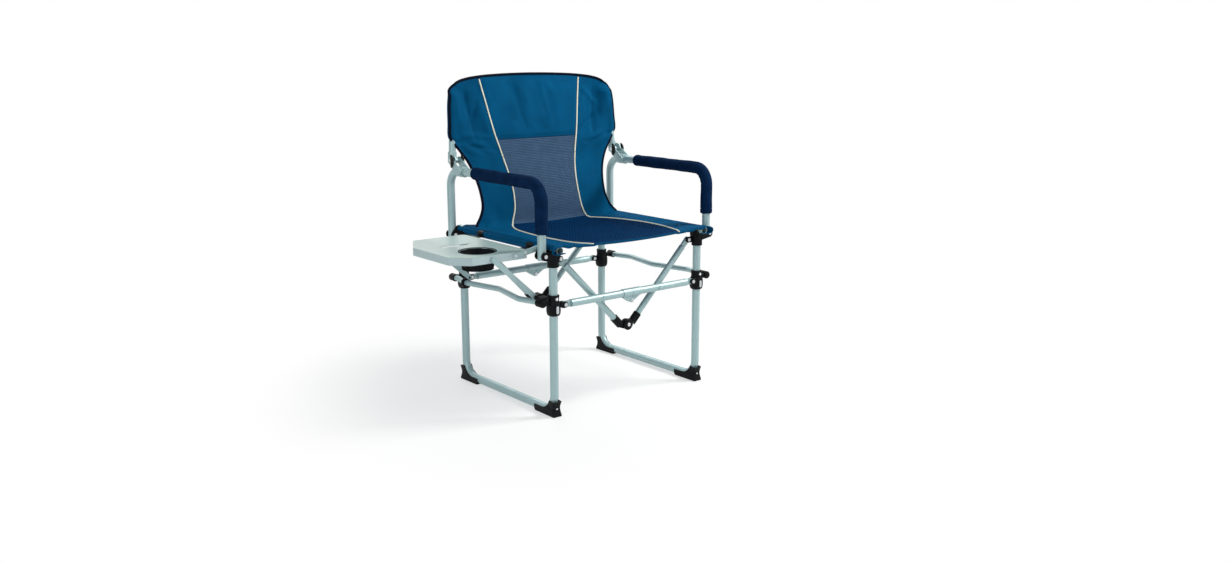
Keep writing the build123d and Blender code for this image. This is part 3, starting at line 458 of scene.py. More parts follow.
def coated_metal(name, colour, worn, roughness, metallic, below=None):
    """Powder coat or bright metal: fine speckle in tone and bump, roughness that drifts, and thin scuffs down
    to a brighter colour. `below` is a height in metres and the colour that the coat has under it."""
    made, tree, shade, _, place = bare_finish(name, roughness, metallic=metallic)
    mark = placed(tree, MARKS, place, Scale=70.0)
    grain = placed(tree, TONE, place, Scale=900.0, Low=0.0, High=1.0)
    coat = tinted(tree, grain, times(colour, 0.94), times(colour, 1.05))
    if below:
        height, lower_colour = below
        under = spread(tree, axes(tree, place)[2], height, height + 0.0008, 1.0, 0.0)
        coat = tinted(tree, under, coat, lower_colour)
    tree.links.new(tinted(tree, sums(tree, "MULTIPLY", mark, 0.35), coat, worn), shade["Base Color"])
    drift = placed(tree, TONE, place, Scale=18.0, Low=roughness - 0.05, High=roughness + 0.07)
    tree.links.new(sums(tree, "MULTIPLY_ADD", mark, 0.12, drift), shade["Roughness"])
    raised(tree, shade, grain, 0.000012)
    return made


def moulded_plastic(name, colour, roughness=0.46):
    """Black moulding: spark-eroded grain in the bump, rubbed grey in places."""
    made, tree, shade, _, place = bare_finish(name, roughness, specular=0.09)
    mark = placed(tree, MARKS, place, Scale=110.0)
    grain = placed(tree, TONE, place, Scale=1300.0, Low=0.0, High=1.0)
    rubbed = tinted(tree, sums(tree, "MULTIPLY", mark, 0.6), colour, times(colour, 4.5))
    tree.links.new(rubbed, shade["Base Color"])
    drift = placed(tree, TONE, place, Scale=25.0, Low=roughness - 0.08, High=roughness + 0.1)
    tree.links.new(drift, shade["Roughness"])
    raised(tree, shade, grain, 0.00006)
    return made


TABLE_FLANGE = (0.4398, (0.40, 0.51, 0.525))   # the table's turned-down edge is bluer than its top
TUBE = coated_metal("silver_coat", (0.345, 0.485, 0.495), (0.48, 0.60, 0.61), 0.43, 0.34)
BLACK = moulded_plastic("black_moulding", (0.0045, 0.005, 0.006))
STEEL = coated_metal("bright_steel", (0.56, 0.60, 0.61), (0.70, 0.72, 0.72), 0.28, 0.9)
TABLE = coated_metal("table_lacquer", (0.335, 0.45, 0.42), (0.45, 0.54, 0.52), 0.33, 0.0, TABLE_FLANGE)
BLUE = oxford_cloth("blue_oxford", (0.0002, 0.082, 0.196))
HEAD = oxford_cloth("blue_headrest", (0.0002, 0.086, 0.206))
# the back mesh's second colour is the painted shade in its cells
GREY_MESH = spacer_mesh("grey_back_mesh", (0.060, 0.112, 0.196), (0.008, 0.026, 0.060), 0.0052)
# the seat mesh's second colour is the painted shade of its valleys
NAVY_MESH = ribbed_mesh("navy_seat_mesh", (0.0014, 0.037, 0.118), (0.0003, 0.005, 0.021))
NAVY_KNIT = sleeve_knit("navy_sleeve", (0.0026, 0.0165, 0.055))
CREAM = plain_thread("cream_piping", (1.0, 0.94, 0.73))
DARK_TAPE = plain_thread("dark_binding", (0.0016, 0.0042, 0.013), 0.8)
THREAD = plain_thread("blue_thread", (0.004, 0.075, 0.20))
NET = plain_thread("black_net", (0.010, 0.011, 0.013), 0.65)

# The first word found in a solid's name gives its finish; all others are coated tube.
# painted shade: the table's hinge rod is black to stand in for the shadow gap between the seat's cloth and the
# table
FINISH_OF = (("bracket_pins", STEEL), ("fittings", STEEL), ("knuckle_pins", STEEL), ("back_pin", STEEL),
             ("hinge_rod", BLACK), ("table_hinges", BLACK), ("strut_hinges", BLACK), ("foot", BLACK),
             ("back_bracket", TUBE), ("bracket", BLACK), ("clip", BLACK), ("clamp", BLACK),
             ("table_top", TABLE))
for label, node in nodes.items():
    node.data.materials.clear()
    node.data.materials.append(next((finish for word, finish in FINISH_OF if word in label), TUBE))

# ---------------------------------------------------------------- cloth: outlines and surfaces

CREASE_Y, CREASE_Z = 188.0, 635.0          # where the back's cloth hinges, level with the posts' pins
SEAM_Z = 685.0                             # lower edge of the headrest
CORNER_X, CORNER_Z = 262, 836              # where the back's side ends and its top edge begins
BACK_LEAN, BACK_HOLLOW, BACK_RISE = 30, 22, 228   # the back's lean and hollow over its height
BACK_SPAN = 296.9                          # half-width at which the hollow has died out
POST_Y, POST_LEAN = 202, 0.0699            # the posts' front at the crease and how far they lean per mm
HEM_ROLL, POCKET_ROLL = 2.2, 10.1          # radius of the back's edge: a hem, and what the pocket adds
PIPED, SEAT_PIPED = 42, 40                 # columns of a half inside the back's and the seat's piping
BACK_SHARE, SEAT_SHARE = 0.56, 0.66        # where those pipings lie between a half's first and last column
RAIL_X, RAIL_TOP = 250, 453                # middle line of a seat rail and the height of the cloth on it
SEAT_FRONT, SEAT_BACK, SEAT_END = -252.0, 138.0, 249  # the seat's front edge, crease and flat half-width
FRONT_CUT, FRONT_ROWS, SLEEVE_COLUMN = -186.0, 20, 60   # where the seat's front strip and its sleeves begin
LOWER_HEM = 1.8                            # radius of the lower back's edge
STITCH_GAP = 4.2                           # distance of a stitch row from the piping


def back_side(z):
    """Half-width of the back's outline at height z, up to the start of its top corner."""
    return drawn_curve(z, [635, 655, 672, 684, 690, 696, 704, 728, 800, 815, 826, 832, 836],
                       [246, 260.5, 273.5, 283.5, 288, 291, 292, 290.3, 284.8, 281.5, 275.5, 269, 262])


def back_top(x):
    """Height of the back's top edge at distance x from the middle: a shallow arch that drops at the
    corners."""
    return drawn_curve(x, [0, 60, 105, 175, 222, 244, 256, 262],
                       [863.5, 862.8, 861.5, 857.5, 851.5, 846, 840.5, 836])


def piping_half(z):
    """Half the distance between the two pipings of the back at height z: wide at the top, waisted above the
    seat."""
    return drawn_curve(z, [440, 452, 480, 525, 581, 640, 702, 780, 862],
                       [136, 131, 120, 114, 117, 129, 145, 160, 176])


def lumbar_side(z):
    """Half-width of the lower back at height z: flared on the seat, waisted at arm height."""
    return drawn_curve(z, [438, 452, 473, 500, 535, 570, 600, 620, 635],
                       [257, 249, 232, 219, 216.5, 221, 229.5, 238, 246])


def seat_piping(y):
    """Half the distance between the seat's two pipings at depth y."""
    return drawn_curve(y, [-252, -236, -200, -100, 0, 80, 120, 138], [146, 158, 172, 187, 181, 162, 143, 134])


def seat_top(x, y):
    """Height of the seat: sagging as 1 - (x/250)^2 between its rails, the knitted middle standing 2 mm proud,
    and the cloth beside the front edge puckered into short waves that die out backwards. The last 14 mm curve
    up."""
    far = np.abs(x)
    sag = 14 - 4 * ramp(-180, SEAT_FRONT, y)
    middle = 1 - ramp(-12, 2, far - seat_piping(y))
    pucker = 1.5 * np.sin(x / 5.6 + 0.02 * y) * ramp(-205, -250, y) * ramp(165, 215, far)
    crumple = (0.9 * np.sin((0.7 * x + y) / 13 + np.sin(x / 31))
               * ramp(190, 235, far) * (1 - ramp(236, 250, far)) * ramp(150, 60, np.abs(y + 40)))
    turn_up = np.clip(np.asarray(y, float) - 124, 0, 14) ** 2 / 36 * ramp(230, 212, far)
    return RAIL_TOP - sag * (1 - (x / RAIL_X) ** 2) + 2.0 * middle + pucker + crumple + turn_up


def lumbar_foot(x):
    """Height at which the lower back stands on the seat, at distance x from the middle."""
    return np.minimum(seat_top(np.minimum(x, SEAT_END), SEAT_BACK), RAIL_TOP)


def lumbar_front(x, z):
    """Depth of the lower back's front face: a rounded foot on the seat, then a curve leaning back upwards,
    its edges up to 8 mm further back at mid-height, with soft pulls running up from the seat's corners."""
    far = np.abs(x)
    lean = (drawn_curve(z, [438, 470, 500, 536, 570, 600, 620, 635],
                        [138, 138.3, 141, 149.5, 160.5, 170.8, 177.2, 181.5])
            + 6.5 * (1 - np.exp(-np.clip(z - lumbar_foot(far), 0, None) / 7)))
    share = far / lumbar_side(z)
    hollow = 8 * share ** 2 * np.sin(pi * np.clip((z - 440) / 195, 0, 1))
    pull = (1.6 * np.sin((0.9 * far - 0.55 * z) / 9.5)
            * ramp(0.6, 0.8, share) * ramp(560, 470, z) * (1 - ramp(0.93, 1, share)))
    knit = -1.2 * (1 - ramp(-10, 0, far - piping_half(z))) * ramp(440, 452, z) * ramp(635, 620, z)
    return lean + hollow + pull + knit


def pocket(z):
    """1 where the side of the back is a pocket round the post, 0 where it is only a hem."""
    return ramp(672, 694, z) * ramp(832, 806, z)


def pocket_seam(z):
    """Distance from the middle of the seam that closes the pocket."""
    return 209 + 14 * np.clip((z - 697) / 93, -0.3, 1.3)


def edge_roll(z):
    """Radius of the back's rolled side edge."""
    return HEM_ROLL + POCKET_ROLL * pocket(z)


def crease(far, z, start, end, depth, width):
    """A fold along the line from start to end: depth times exp(-(d/width)^2) for the distance d, fading at
    its ends."""
    run = np.subtract(end, start)
    s = ((far - start[0]) * run[0] + (z - start[1]) * run[1]) / (run @ run)
    d = ((far - start[0]) * run[1] - (z - start[1]) * run[0]) / np.hypot(*run)
    return depth * np.exp(-(d / width) ** 2) * ramp(-0.08, 0.3, s) * ramp(1.08, 0.7, s)


# Creases of the back, each with its start, end, depth and width; on the two sides x counts from the middle.
RIGHT_CREASES = (((158, 690), (236, 752), 5.0, 7), ((172, 826), (238, 770), -3.6, 8),
                 ((232, 726), (240, 832), 3.4, 9), ((150, 668), (262, 690), -3.2, 7))
LEFT_CREASES = (((178, 832), (214, 716), 4.2, 8), ((150, 690), (262, 704), -3.4, 7),
                ((150, 655), (246, 672), 2.6, 6))
HEAD_CREASES = (((-62, 842), (-38, 712), 3.0, 9), ((34, 848), (58, 716), -2.6, 8))


def back_sheet(x, z):
    """Depth of the plain back: a sheet leaning back from the crease, hollow in the middle."""
    rise = (z - CREASE_Z) / BACK_RISE
    return CREASE_Y + rise * (BACK_LEAN + BACK_HOLLOW * (1 - (x / BACK_SPAN) ** 2))


def back_front(x, z):
    """Depth of the back's front face: the plain sheet, drawn forward round the post beyond the pocket's seam.
    The headrest stands 3 mm proud with loose vertical folds above its seam; beside the pipings lie slanting
    waves, a groove along the pocket's seam and the creases."""
    far = np.abs(x)
    k, r = pocket(z), edge_roll(z)
    end = back_side(np.minimum(z, CORNER_Z)) - r
    flat_end = back_sheet(end, z)
    front = (1 - k) * flat_end + k * (POST_Y + (z - CREASE_Z) * POST_LEAN - r)
    t = np.clip((far - pocket_seam(z)) / np.maximum(end - pocket_seam(z), 8), 0, 1)
    drawn = back_sheet(x, z) + (front - flat_end) * ramp(0, 1, t)
    inside = 1 - ramp(-14, -1, far - piping_half(z))
    head = -3.2 * inside * ramp(684, 697, z) * ramp(863, 838, z)
    broad = ((2.9 + 1.5 * np.sin(x / 38 + 2)) * np.sin((x + 0.3 * z) / 21 + 1.7 * np.sin(x / 61 + 0.8))
             * (0.55 + 0.45 * np.sin(z / 31 + x / 70)))
    narrow = (1.2 * np.sin((x + 0.55 * z) / 9.3 + 1.5 * np.sin(z / 27))
              * ramp(-0.3, 0.8, np.sin(x / 44 + 1)))
    folds = inside * ramp(686, 730, z) * ramp(863, 812, z) * (broad + narrow)
    right = np.where(np.asarray(x) < 0, 0.0, 1.0)
    upper = (3.2 * np.sin((0.9 * far - 0.45 * z) / 13 + 0.3 + 0.6 * right)
             * ramp(655, 700, z) * ramp(852, 790, z))
    lower = 1.6 * np.sin((far - 1.1 * z) / 8.5) * ramp(690, 668, z) * ramp(640, 655, z)
    beside = ramp(2, 22, far - piping_half(z)) * ramp(1, 0.75, t) * (upper + lower)
    span = np.clip((far - piping_half(z)) / np.maximum(end - piping_half(z), 8), 0, 1)
    groove = (4.0 * k * np.exp(-((far - pocket_seam(z)) / 8) ** 2)
              + 5.0 * np.sin(pi * span) ** 2 * ramp(668, 710, z) * ramp(862, 800, z))
    one_sided = np.where(np.asarray(x) > 0, sum(crease(far, z, *each) for each in RIGHT_CREASES),
                         sum(crease(far, z, *each) for each in LEFT_CREASES))
    pulls = one_sided + sum(crease(x, z, *each) for each in HEAD_CREASES)
    return drawn + head + folds + beside + groove + pulls


def columns(share, inside, outside):
    """Columns 0..1 of a half: `inside` of them up to the piping's share, then `outside` up to the edge."""
    return np.concatenate([np.linspace(0, share, inside), np.linspace(share, 1, outside)[1:]])[None, :]


def across(u, share, piping, edge):
    """Distance from the middle at column u: to the piping while u runs to the share, then on to the edge."""
    return np.where(u <= share, u / share * piping, piping + (u - share) / (1 - share) * (edge - piping))


def running(P):
    """Running length along each row of a grid."""
    return np.pad(np.cumsum(np.linalg.norm(np.diff(P, axis=1), axis=2), 1), ((0, 0), (1, 0)))


def handed(side, P, kind):
    """A half's grid, its uv in metres (running length across, height) and its finishes, turned round on the
    left."""
    uv = np.stack([side * running(P), P[..., 2]], -1) * 0.001
    return P[:, ::side], uv[:, ::side], kind[:, ::side].reshape(-1)


def back_half(side):
    """One half of the back, from the middle line to its pocket. Columns: the front face, the roll x = w - r +
    r sin a, y = yc - r cos a for a in 0..pi, and the hem that returns behind the front. Rows: from the crease
    to the headrest's seam, then on to the top edge, each row's height scaled by the top's arch."""
    seam_row, fine = 0.219, 7.2 / 33       # the headrest seam's share of the height; finer rows at the crease
    below = np.concatenate([np.linspace(0, fine, 12), np.linspace(fine, 1, 31)[1:]]) * seam_row
    rows = np.concatenate([below, np.linspace(seam_row, 1, 56)[1:]])[:, None]
    u = columns(BACK_SHARE, PIPED, 40)
    z = CREASE_Z + (back_top(across(u, BACK_SHARE, 175.0, 262.0)) - CREASE_Z) * rows
    w = back_side(np.minimum(z, CORNER_Z))
    rim, we = z[:, -1:], w[:, -1:]
    k, r = pocket(rim), edge_roll(rim)
    x = across(u, BACK_SHARE, piping_half(z), w - r)
    front = np.stack([side * x, back_front(side * x, z), z], -1)
    yc = front[:, -1:, 1] + r
    a = np.linspace(0, pi, 11)[None, 1:]
    roll = np.stack([side * (we - r + r * np.sin(a)), yc - r * np.cos(a), rim + 0 * a], -1)
    b = np.linspace(0, 1, 8)[None, 1:]
    back = (we - r) - (6 + 48 * k) * b
    behind = back_front(side * back, rim + 0 * b) + 2.6
    returned = np.stack([side * back, (1 - ramp(0, 1, b)) * (yc + r) + ramp(0, 1, b) * behind,
                         rim + 0 * b], -1)
    P = np.concatenate([front, roll, returned], 1)
    row, column = np.indices((P.shape[0] - 1, P.shape[1] - 1))
    kind = np.where(column < PIPED - 1, np.where(row < len(below) - 1, 1, 2), 0)
    return handed(side, P, kind)


def lumbar_half(side):
    """One half of the lower back: rows rise from the seat's surface at the crease to the back's hinge line,
    columns run out to the waisted outline with one of them on the piping, and a narrow hem turns round the
    edge."""
    v = np.linspace(0, 1, 66)[:, None]
    u = columns(BACK_SHARE, PIPED, 32)
    low = lumbar_foot(across(u, BACK_SHARE, 134.0, 252.0))
    z = low + (CREASE_Z - low) * v
    x = across(u, BACK_SHARE, piping_half(z), lumbar_side(z) - LOWER_HEM)
    front = lower_line(side, x, z)
    a = np.linspace(0, pi, 7)[None, 1:, None]
    roll = front[:, -1:] + LOWER_HEM * np.concatenate([side * np.sin(a), 1 - np.cos(a), 0 * a], -1)
    hem = roll[:, -1:] + np.array([-12.0 * side, 0.4, 0])
    P = np.concatenate([front, roll, hem], 1)
    column = np.indices((P.shape[0] - 1, P.shape[1] - 1))[1]
    return handed(side, P, np.where(column < PIPED - 1, 1, 0))


def sleeve_end(y):
    """1 at the seat's front edge, where the sleeve's mouth is pinched and points outwards, 0 from 30 mm
    behind it."""
    return ramp(-222, SEAT_FRONT, y)


def seat_half():
    """Right half of the seat from the middle line: the top out to the rail, the roll round the rail (x = c +
    r sin a, z = top - r + r cos a) and 22 mm of hem below it. Beside the brackets the roll stops at the
    rail's outer side."""
    ahead = np.linspace(0, 1, FRONT_ROWS + 1)[:, None]
    v = np.linspace(0, 1, 98)[1:, None]
    u = columns(SEAT_SHARE, SEAT_PIPED, 34)
    rear = SEAT_BACK + 58 * ramp(214, 230, across(u, SEAT_SHARE, 140.0, 250.0))
    y = np.concatenate([SEAT_FRONT + (FRONT_CUT - SEAT_FRONT) * ahead + 0 * u,
                        FRONT_CUT + (rear - FRONT_CUT) * v])
    x = across(u, SEAT_SHARE, seat_piping(y), RAIL_X + 9 * sleeve_end(y))
    top = np.stack([x, y, seat_top(np.minimum(x, RAIL_X), y) - 3 * sleeve_end(y) * ramp(225, 250, x)], -1)
    ye = y[:, -1:]
    pinch = sleeve_end(ye)
    r = 13 - 2.5 * pinch
    held = ramp(186, 194, np.abs(ye)) * ramp(242, 234, np.abs(ye))
    a = np.linspace(0, 1, 15)[None, 1:] * pi * (1 - 0.52 * held)
    c, crown = top[:, -1:, 0], top[:, -1:, 2]
    ruffle = pinch * (1.6 * np.sin(3 * a + 1.0) + 1.1 * np.sin(7 * a))
    roll = np.stack([c + (r + 8 * pinch + ruffle) * np.sin(a), ye + 0.6 * ruffle,
                     crown - r + r * np.cos(a)], -1)
    b = np.linspace(0, 1, 7)[None, 1:] * (22 - 20.2 * held)
    hem = np.stack([roll[:, -1:, 0] - b, ye + 0 * b, roll[:, -1:, 2] + 0.12 * b], -1)
    return np.concatenate([top, roll, hem], 1)


def whole_seat():
    """The seat from hem to hem, its uv and its finishes: the right half and its mirror image, sharing a
    column."""
    half = seat_half()
    middle = half.shape[1] - 1
    P = np.concatenate([half[:, :0:-1] * np.array([-1.0, 1, 1]), half], 1)
    run = running(P)
    uv = np.stack([run - run[:, middle:middle + 1], P[..., 1]], -1) * 0.001
    column = np.indices((P.shape[0] - 1, P.shape[1] - 1))[1]
    return P, uv, np.where(np.abs(column + 0.5 - middle) < SEAT_PIPED - 1, 1, 0)


def back_line(side, x, z, lift=0.0):
    """Points on the back's front face, lifted forwards."""
    return np.stack([side * x, back_front(side * x, z) - lift, z], -1)


def lower_line(side, x, z, lift=0.0):
    """Points on the lower back's front face, lifted forwards."""
    return np.stack([side * x, lumbar_front(x, z) - lift, z], -1)


def seat_line(side, x, y, lift=0.0):
    """Points on the seat, lifted upwards."""
    return np.stack([side * x, y, seat_top(side * x, y) + lift], -1)


def cord(path):
    """Piping: a round cord along the path."""
    return rolled(even(path, 3.0), 2.0, 8, up=(1, 0, 0))


def tape(path):
    """Binding: a tape rolled round an edge."""
    return rolled(even(path, 3.5), 3.9, 8, up=(0, 1, 0))


def seam_pair(line, side, half, along, outward):
    """Stitch rows on both sides of a piping that lies `half` from the middle."""
    return [stitches(line(side, half(along) + d, along), outward) for d in (-STITCH_GAP, STITCH_GAP)]


# ---------------------------------------------------------------- cloth: pieces

CLOTH, SEAT = (BLUE, GREY_MESH, HEAD), (BLUE, NAVY_MESH)
SIDE_SEAM_X = 228                          # the seat's stitch row beside each rail
ROD_X, ROD_Z, WRAP_RADIUS = -272, 445, 6.2     # the table's hinge rod and the cloth wound round it

for side, hand in HANDS:
    panel, area = cloth_shell(f"{hand}_back_panel", *back_half(side), CLOTH)
    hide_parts(f"{hand}_back_sling")
    z = np.linspace(CREASE_Z, 851, 90)
    piping = piece(f"{hand}_back_piping", *cord(back_line(side, piping_half(z), z, 1.1)), CREAM)
    # binding: up the outer edge of the pocket, round the corner and along the top to the middle
    z = np.linspace(CREASE_Z, CORNER_Z, 110)
    k, r, w = pocket(z), edge_roll(z), back_side(z)
    up_side = np.stack([side * (w - r + (r + 0.4) * (1 - 0.16 * k)),
                        back_front(side * (w - r), z) + r * (1 - 0.52 * k), z], -1)
    x = np.linspace(CORNER_X, 0, 90)[1:]
    along = back_line(side, x, back_top(x), -0.6)
    binding = piece(f"{hand}_back_binding", *tape(np.concatenate([up_side, along])), DARK_TAPE)
    # stitch rows: both sides of the piping, the pocket's seam, the headrest's seam and the top tape
    rows = seam_pair(back_line, side, piping_half, np.linspace(CREASE_Z + 3, 846, 160), FORWARD)
    z = np.linspace(694, 812, 100)
    rows += [stitches(back_line(side, pocket_seam(z) + d, z), FORWARD) for d in (0, 5)]
    x = np.linspace(0.5, piping_half(SEAM_Z) - 3, 80)
    rows += [stitches(back_line(side, x, SEAM_Z + 3.0 + 0 * x), FORWARD)]
    x = np.linspace(1, 250, 120)
    rows += [stitches(back_line(side, x, back_top(x) - 6), FORWARD)]
    seams = piece(f"{hand}_back_stitching", *joined(rows), THREAD)
    x = np.linspace(0, piping_half(SEAM_Z), 60)
    welt_path = even(back_line(side, x, SEAM_Z - 0.6 + 0 * x, 0.3), 3.0)
    welt = piece(f"{hand}_headrest_welt", *rolled(welt_path, 1.3, 6, up=(0, 1, 0)), HEAD)
    for soft in (panel, piping, binding, seams, welt):
        settled(soft, f"back_{hand}")

    lower, area = cloth_shell(f"{hand}_lower_back", *lumbar_half(side), CLOTH)
    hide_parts(f"{hand}_lumbar_sling")
    z = np.linspace(441, CREASE_Z - 1.6, 80)
    piping = piece(f"{hand}_lower_piping", *cord(lower_line(side, piping_half(z), z, 1.1)), CREAM)
    z = np.linspace(447, CREASE_Z, 80)
    w = lumbar_side(z)
    hem = np.stack([side * (w + 0.2), lumbar_front(w - LOWER_HEM, z) + 1.6, z], -1)
    binding = piece(f"{hand}_lower_binding", *tape(hem), DARK_TAPE)
    z = np.linspace(446, CREASE_Z - 3, 120)
    rows = seam_pair(lower_line, side, piping_half, z, FORWARD)
    rows += [stitches(lower_line(side, lumbar_side(z) - 6, z), FORWARD)]
    seams = piece(f"{hand}_lower_stitching", *joined(rows), THREAD)
    for soft in (lower, piping, binding, seams):
        settled(soft, f"seat_{hand}")
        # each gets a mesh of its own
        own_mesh(soft)

P, uv, kind = whole_seat()
centre = P.shape[1] // 2
fore, behind = slice(0, FRONT_ROWS + 1), slice(FRONT_ROWS, P.shape[0])


def seat_cut(name, rows, cols):
    """A block of the seat's grid as a closed sheet of its own; blocks that meet share their border points."""
    inner = kind[rows.start:rows.stop - 1, cols.start:cols.stop - 1].reshape(-1)
    return cloth_shell(name, P[rows, cols], uv[rows, cols], inner, SEAT)


def seat_cord(side, y, wander):
    """The seat's piping along y, wandering sideways where the cloth is gathered."""
    return cord(seat_line(side, seat_piping(y) + wander, y, 0.9))


def seat_seams(side, y):
    """The seat's stitch rows along y: both sides of the piping, and one beside the rail."""
    return (seam_pair(seat_line, side, seat_piping, y, UPWARD)
            + [stitches(seat_line(side, SIDE_SEAM_X + 0 * y, y), UPWARD)])


def rod_wrap(start, end):
    """Cloth wound round the table's hinge rod from y = start to end, its radius uneven in two slow waves."""
    y = np.linspace(start, end, (end - start) // 3)
    r = WRAP_RADIUS + 0.35 * np.sin(y / 11) + 0.2 * np.sin(y / 4.7)
    return rolled(np.stack([ROD_X + 0 * y, y, ROD_Z + 0 * y], -1), r, 16)


main, area = seat_cut("seat_cloth", behind, slice(centre - SLEEVE_COLUMN, centre + SLEEVE_COLUMN + 1))
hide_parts("left_seat_sling", "right_seat_sling")
y, ys = np.linspace(FRONT_CUT, 136, 130), np.linspace(FRONT_CUT + 2, 130, 140)
wander = 0.9 * np.sin(y / 5.5) * ramp(85, 125, y)
piping = piece("seat_piping", *joined([seat_cord(side, y, wander) for side in (-1, 1)]), CREAM)
seams = piece("seat_stitching", *joined([row for side in (-1, 1) for row in seat_seams(side, ys)]), THREAD)
for soft in (main, piping, seams):
    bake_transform(soft)

points, faces = joined([rod_wrap(*span) for span in ((-196, -165), (-135, 65), (95, 196))])
wound = np.arctan2(points[:, 2] - ROD_Z, points[:, 0] - ROD_X) * WRAP_RADIUS
wrap = piece("table_rod_wrap", points, faces, BLUE, np.stack([wound, points[:, 1]], -1) * 0.001)
settled(wrap, "left_frame")

for side, hand in HANDS:
    if side > 0:
        inner, outer = slice(centre, centre + SLEEVE_COLUMN + 1), slice(centre + SLEEVE_COLUMN, P.shape[1])
    else:
        inner, outer = slice(centre - SLEEVE_COLUMN, centre + 1), slice(0, centre - SLEEVE_COLUMN + 1)
    for label, rows, body, long in ((f"{hand}_rail_sleeve", behind, f"seat_{hand}", 0.39),
                                    (f"{hand}_front_sleeve", fore, f"{hand}_frame", 0.07)):
        sleeve, area = seat_cut(label, rows, outer)
        settled(sleeve, body)
    strip, area = seat_cut(f"{hand}_seat_front", fore, inner)
    y, ys = np.linspace(-251, FRONT_CUT, 50), np.linspace(-246, FRONT_CUT - 2, 40)
    xs = np.linspace(2, 228, 110)
    wander = 1.3 * np.sin(y / 7.0) * ramp(-200, -245, y)
    piping = piece(f"{hand}_front_piping", *seat_cord(side, y, wander), CREAM)
    rows = seat_seams(side, ys) + [stitches(seat_line(side, xs, -244 + 0 * xs), UPWARD)]
    seams = piece(f"{hand}_front_stitching", *joined(rows), THREAD)
    xs = np.linspace(0, 246, 110)
    edge = np.stack([side * xs, -250.8 + 0 * xs, seat_top(side * xs, SEAT_FRONT + 0 * xs) - 2.2], -1)
    hem = piece(f"{hand}_front_hem", *rolled(even(edge, 4), 3.0, 8, up=(0, 1, 0), squeeze=0.62), HEAD)
    for soft in (strip, piping, seams, hem):
        settled(soft, f"{hand}_frame")
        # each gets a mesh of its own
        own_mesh(soft)

# ---------------------------------------------------------------- foam sleeves on the arms

ARM_X, ARM_FRONT, ARM_BEND = 284, -214, 45     # an arm's plane, its front leg and its corner's radius
SLEEVE_LOW, SLEEVE_RISE, SLEEVE_REACH = 482, 80, 257   # lower end, straight rise and straight run on top
SLEEVE_RADIUS, SLEEVE_SIDES = 16.9, 40
CORNER_RUN = ARM_BEND * pi / 2


def arm_line(s):
    """Middle line of an arm from the sleeve's lower end: up the front leg, a quarter turn, and back along the
    top; s is the running length. Returns y, z and the turn made so far."""
    a = np.clip((s - SLEEVE_RISE) / ARM_BEND, 0, pi / 2)
    past = np.maximum(s - SLEEVE_RISE - CORNER_RUN, 0)
    y = ARM_FRONT + ARM_BEND * (1 - np.cos(a)) + past
    z = SLEEVE_LOW + np.minimum(s, SLEEVE_RISE) + ARM_BEND * np.sin(a)
    return y, z, a


def arm_ring(side, s, radius, phi):
    """Points round the arm's middle line at running length s."""
    y, z, a = arm_line(s)
    out = radius * np.cos(phi)
    return np.stack([side * (ARM_X + radius * np.sin(phi)), y - out * np.cos(a), z + out * np.sin(a)], -1)


def arm_sleeve(side):
    """Foam sleeve carried along the arm; it narrows to the tube over the last 5 mm, has a hem groove 13 mm
    from each end, folds on the inner side of the bend (waves in s, strongest where the section faces the
    bend's centre) and a slow unevenness. Returns points, faces and uv, and the stitch rows at its ends."""
    length = SLEEVE_RISE + CORNER_RUN + SLEEVE_REACH
    s = np.concatenate([[0, 0, 0.6, 2, 4.5], np.linspace(7, length - 7, 230),
                        [length - 4.5, length - 2, length - 0.6, length, length]])[:, None]
    r = np.full(s.shape, SLEEVE_RADIUS)
    r[:5, 0] = [11.2, 14.6, 15.7, 16.4, 16.8]
    r[-5:] = r[4::-1]
    hem = np.exp(-((s - 13) / 1.3) ** 2) + np.exp(-((s - length + 13) / 1.3) ** 2)
    phi = circle(SLEEVE_SIDES)[None, :]
    inner = np.clip(-np.cos(phi), 0, 1) ** 1.5
    bent = ramp(62, 84, s) * ramp(185, 150, s)
    folds = bent * inner * (1.3 * np.abs(np.sin((s + 4 * np.sin(phi)) / 5.2)) - 0.9)
    slow = 0.35 * np.sin(s / 23 + 2 * phi) + 0.22 * np.sin(s / 9.1 - phi + side)
    inset = ramp(0, 14, s) * ramp(length, length - 14, s)
    radius = r - 0.8 * hem + (folds + slow - 0.4) * inset
    uv = np.stack(np.broadcast_arrays(phi * 17, s), -1) * 0.001
    turn = np.linspace(0, 2 * pi, 60)
    rows = [stitches(arm_ring(side, at, SLEEVE_RADIUS, turn), along, pitch=4.4)
            for at, along in ((9.0, UPWARD), (length - 9.0, (0, 1, 0)))]
    return (arm_ring(side, s, radius, phi), capped(len(s), SLEEVE_SIDES, -side), NAVY_KNIT, uv), rows


for side, hand in HANDS:
    skin, rows = arm_sleeve(side)
    sleeve = piece(f"{hand}_arm_sleeve", *skin, sharp=60)
    seam = piece(f"{hand}_sleeve_stitching", *joined(rows), DARK_TAPE)
    for soft in (sleeve, seam):
        settled(soft, f"{hand}_arm")
    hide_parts(f"{hand}_arm_foam")

# ---------------------------------------------------------------- net cup under the table

CUP_X, CUP_Y = -412.0, -118.0
CUP_NARROWS = 0.14                         # share of its radius that the cup loses down to its bottom
low, high = box_mm("cup_holder")
cup_reach = (high[0] - low[0]) / 2


def round_cup(radius, a, z):
    """Points at an angle and a radius from the cup's axis."""
    return np.stack([CUP_X + radius * np.cos(a), CUP_Y + radius * np.sin(a), z + 0 * a], -1)


def cup_radius(h, reach, closing):
    """Radius of a bowl: the wall narrows while h runs to 1, then the bottom closes at h = 1 + closing."""
    return np.where(h < 1, reach * (1 - CUP_NARROWS * np.clip(h, 0, 1)),
                    reach * (1 - CUP_NARROWS) * (1 - (h - 1) / closing))


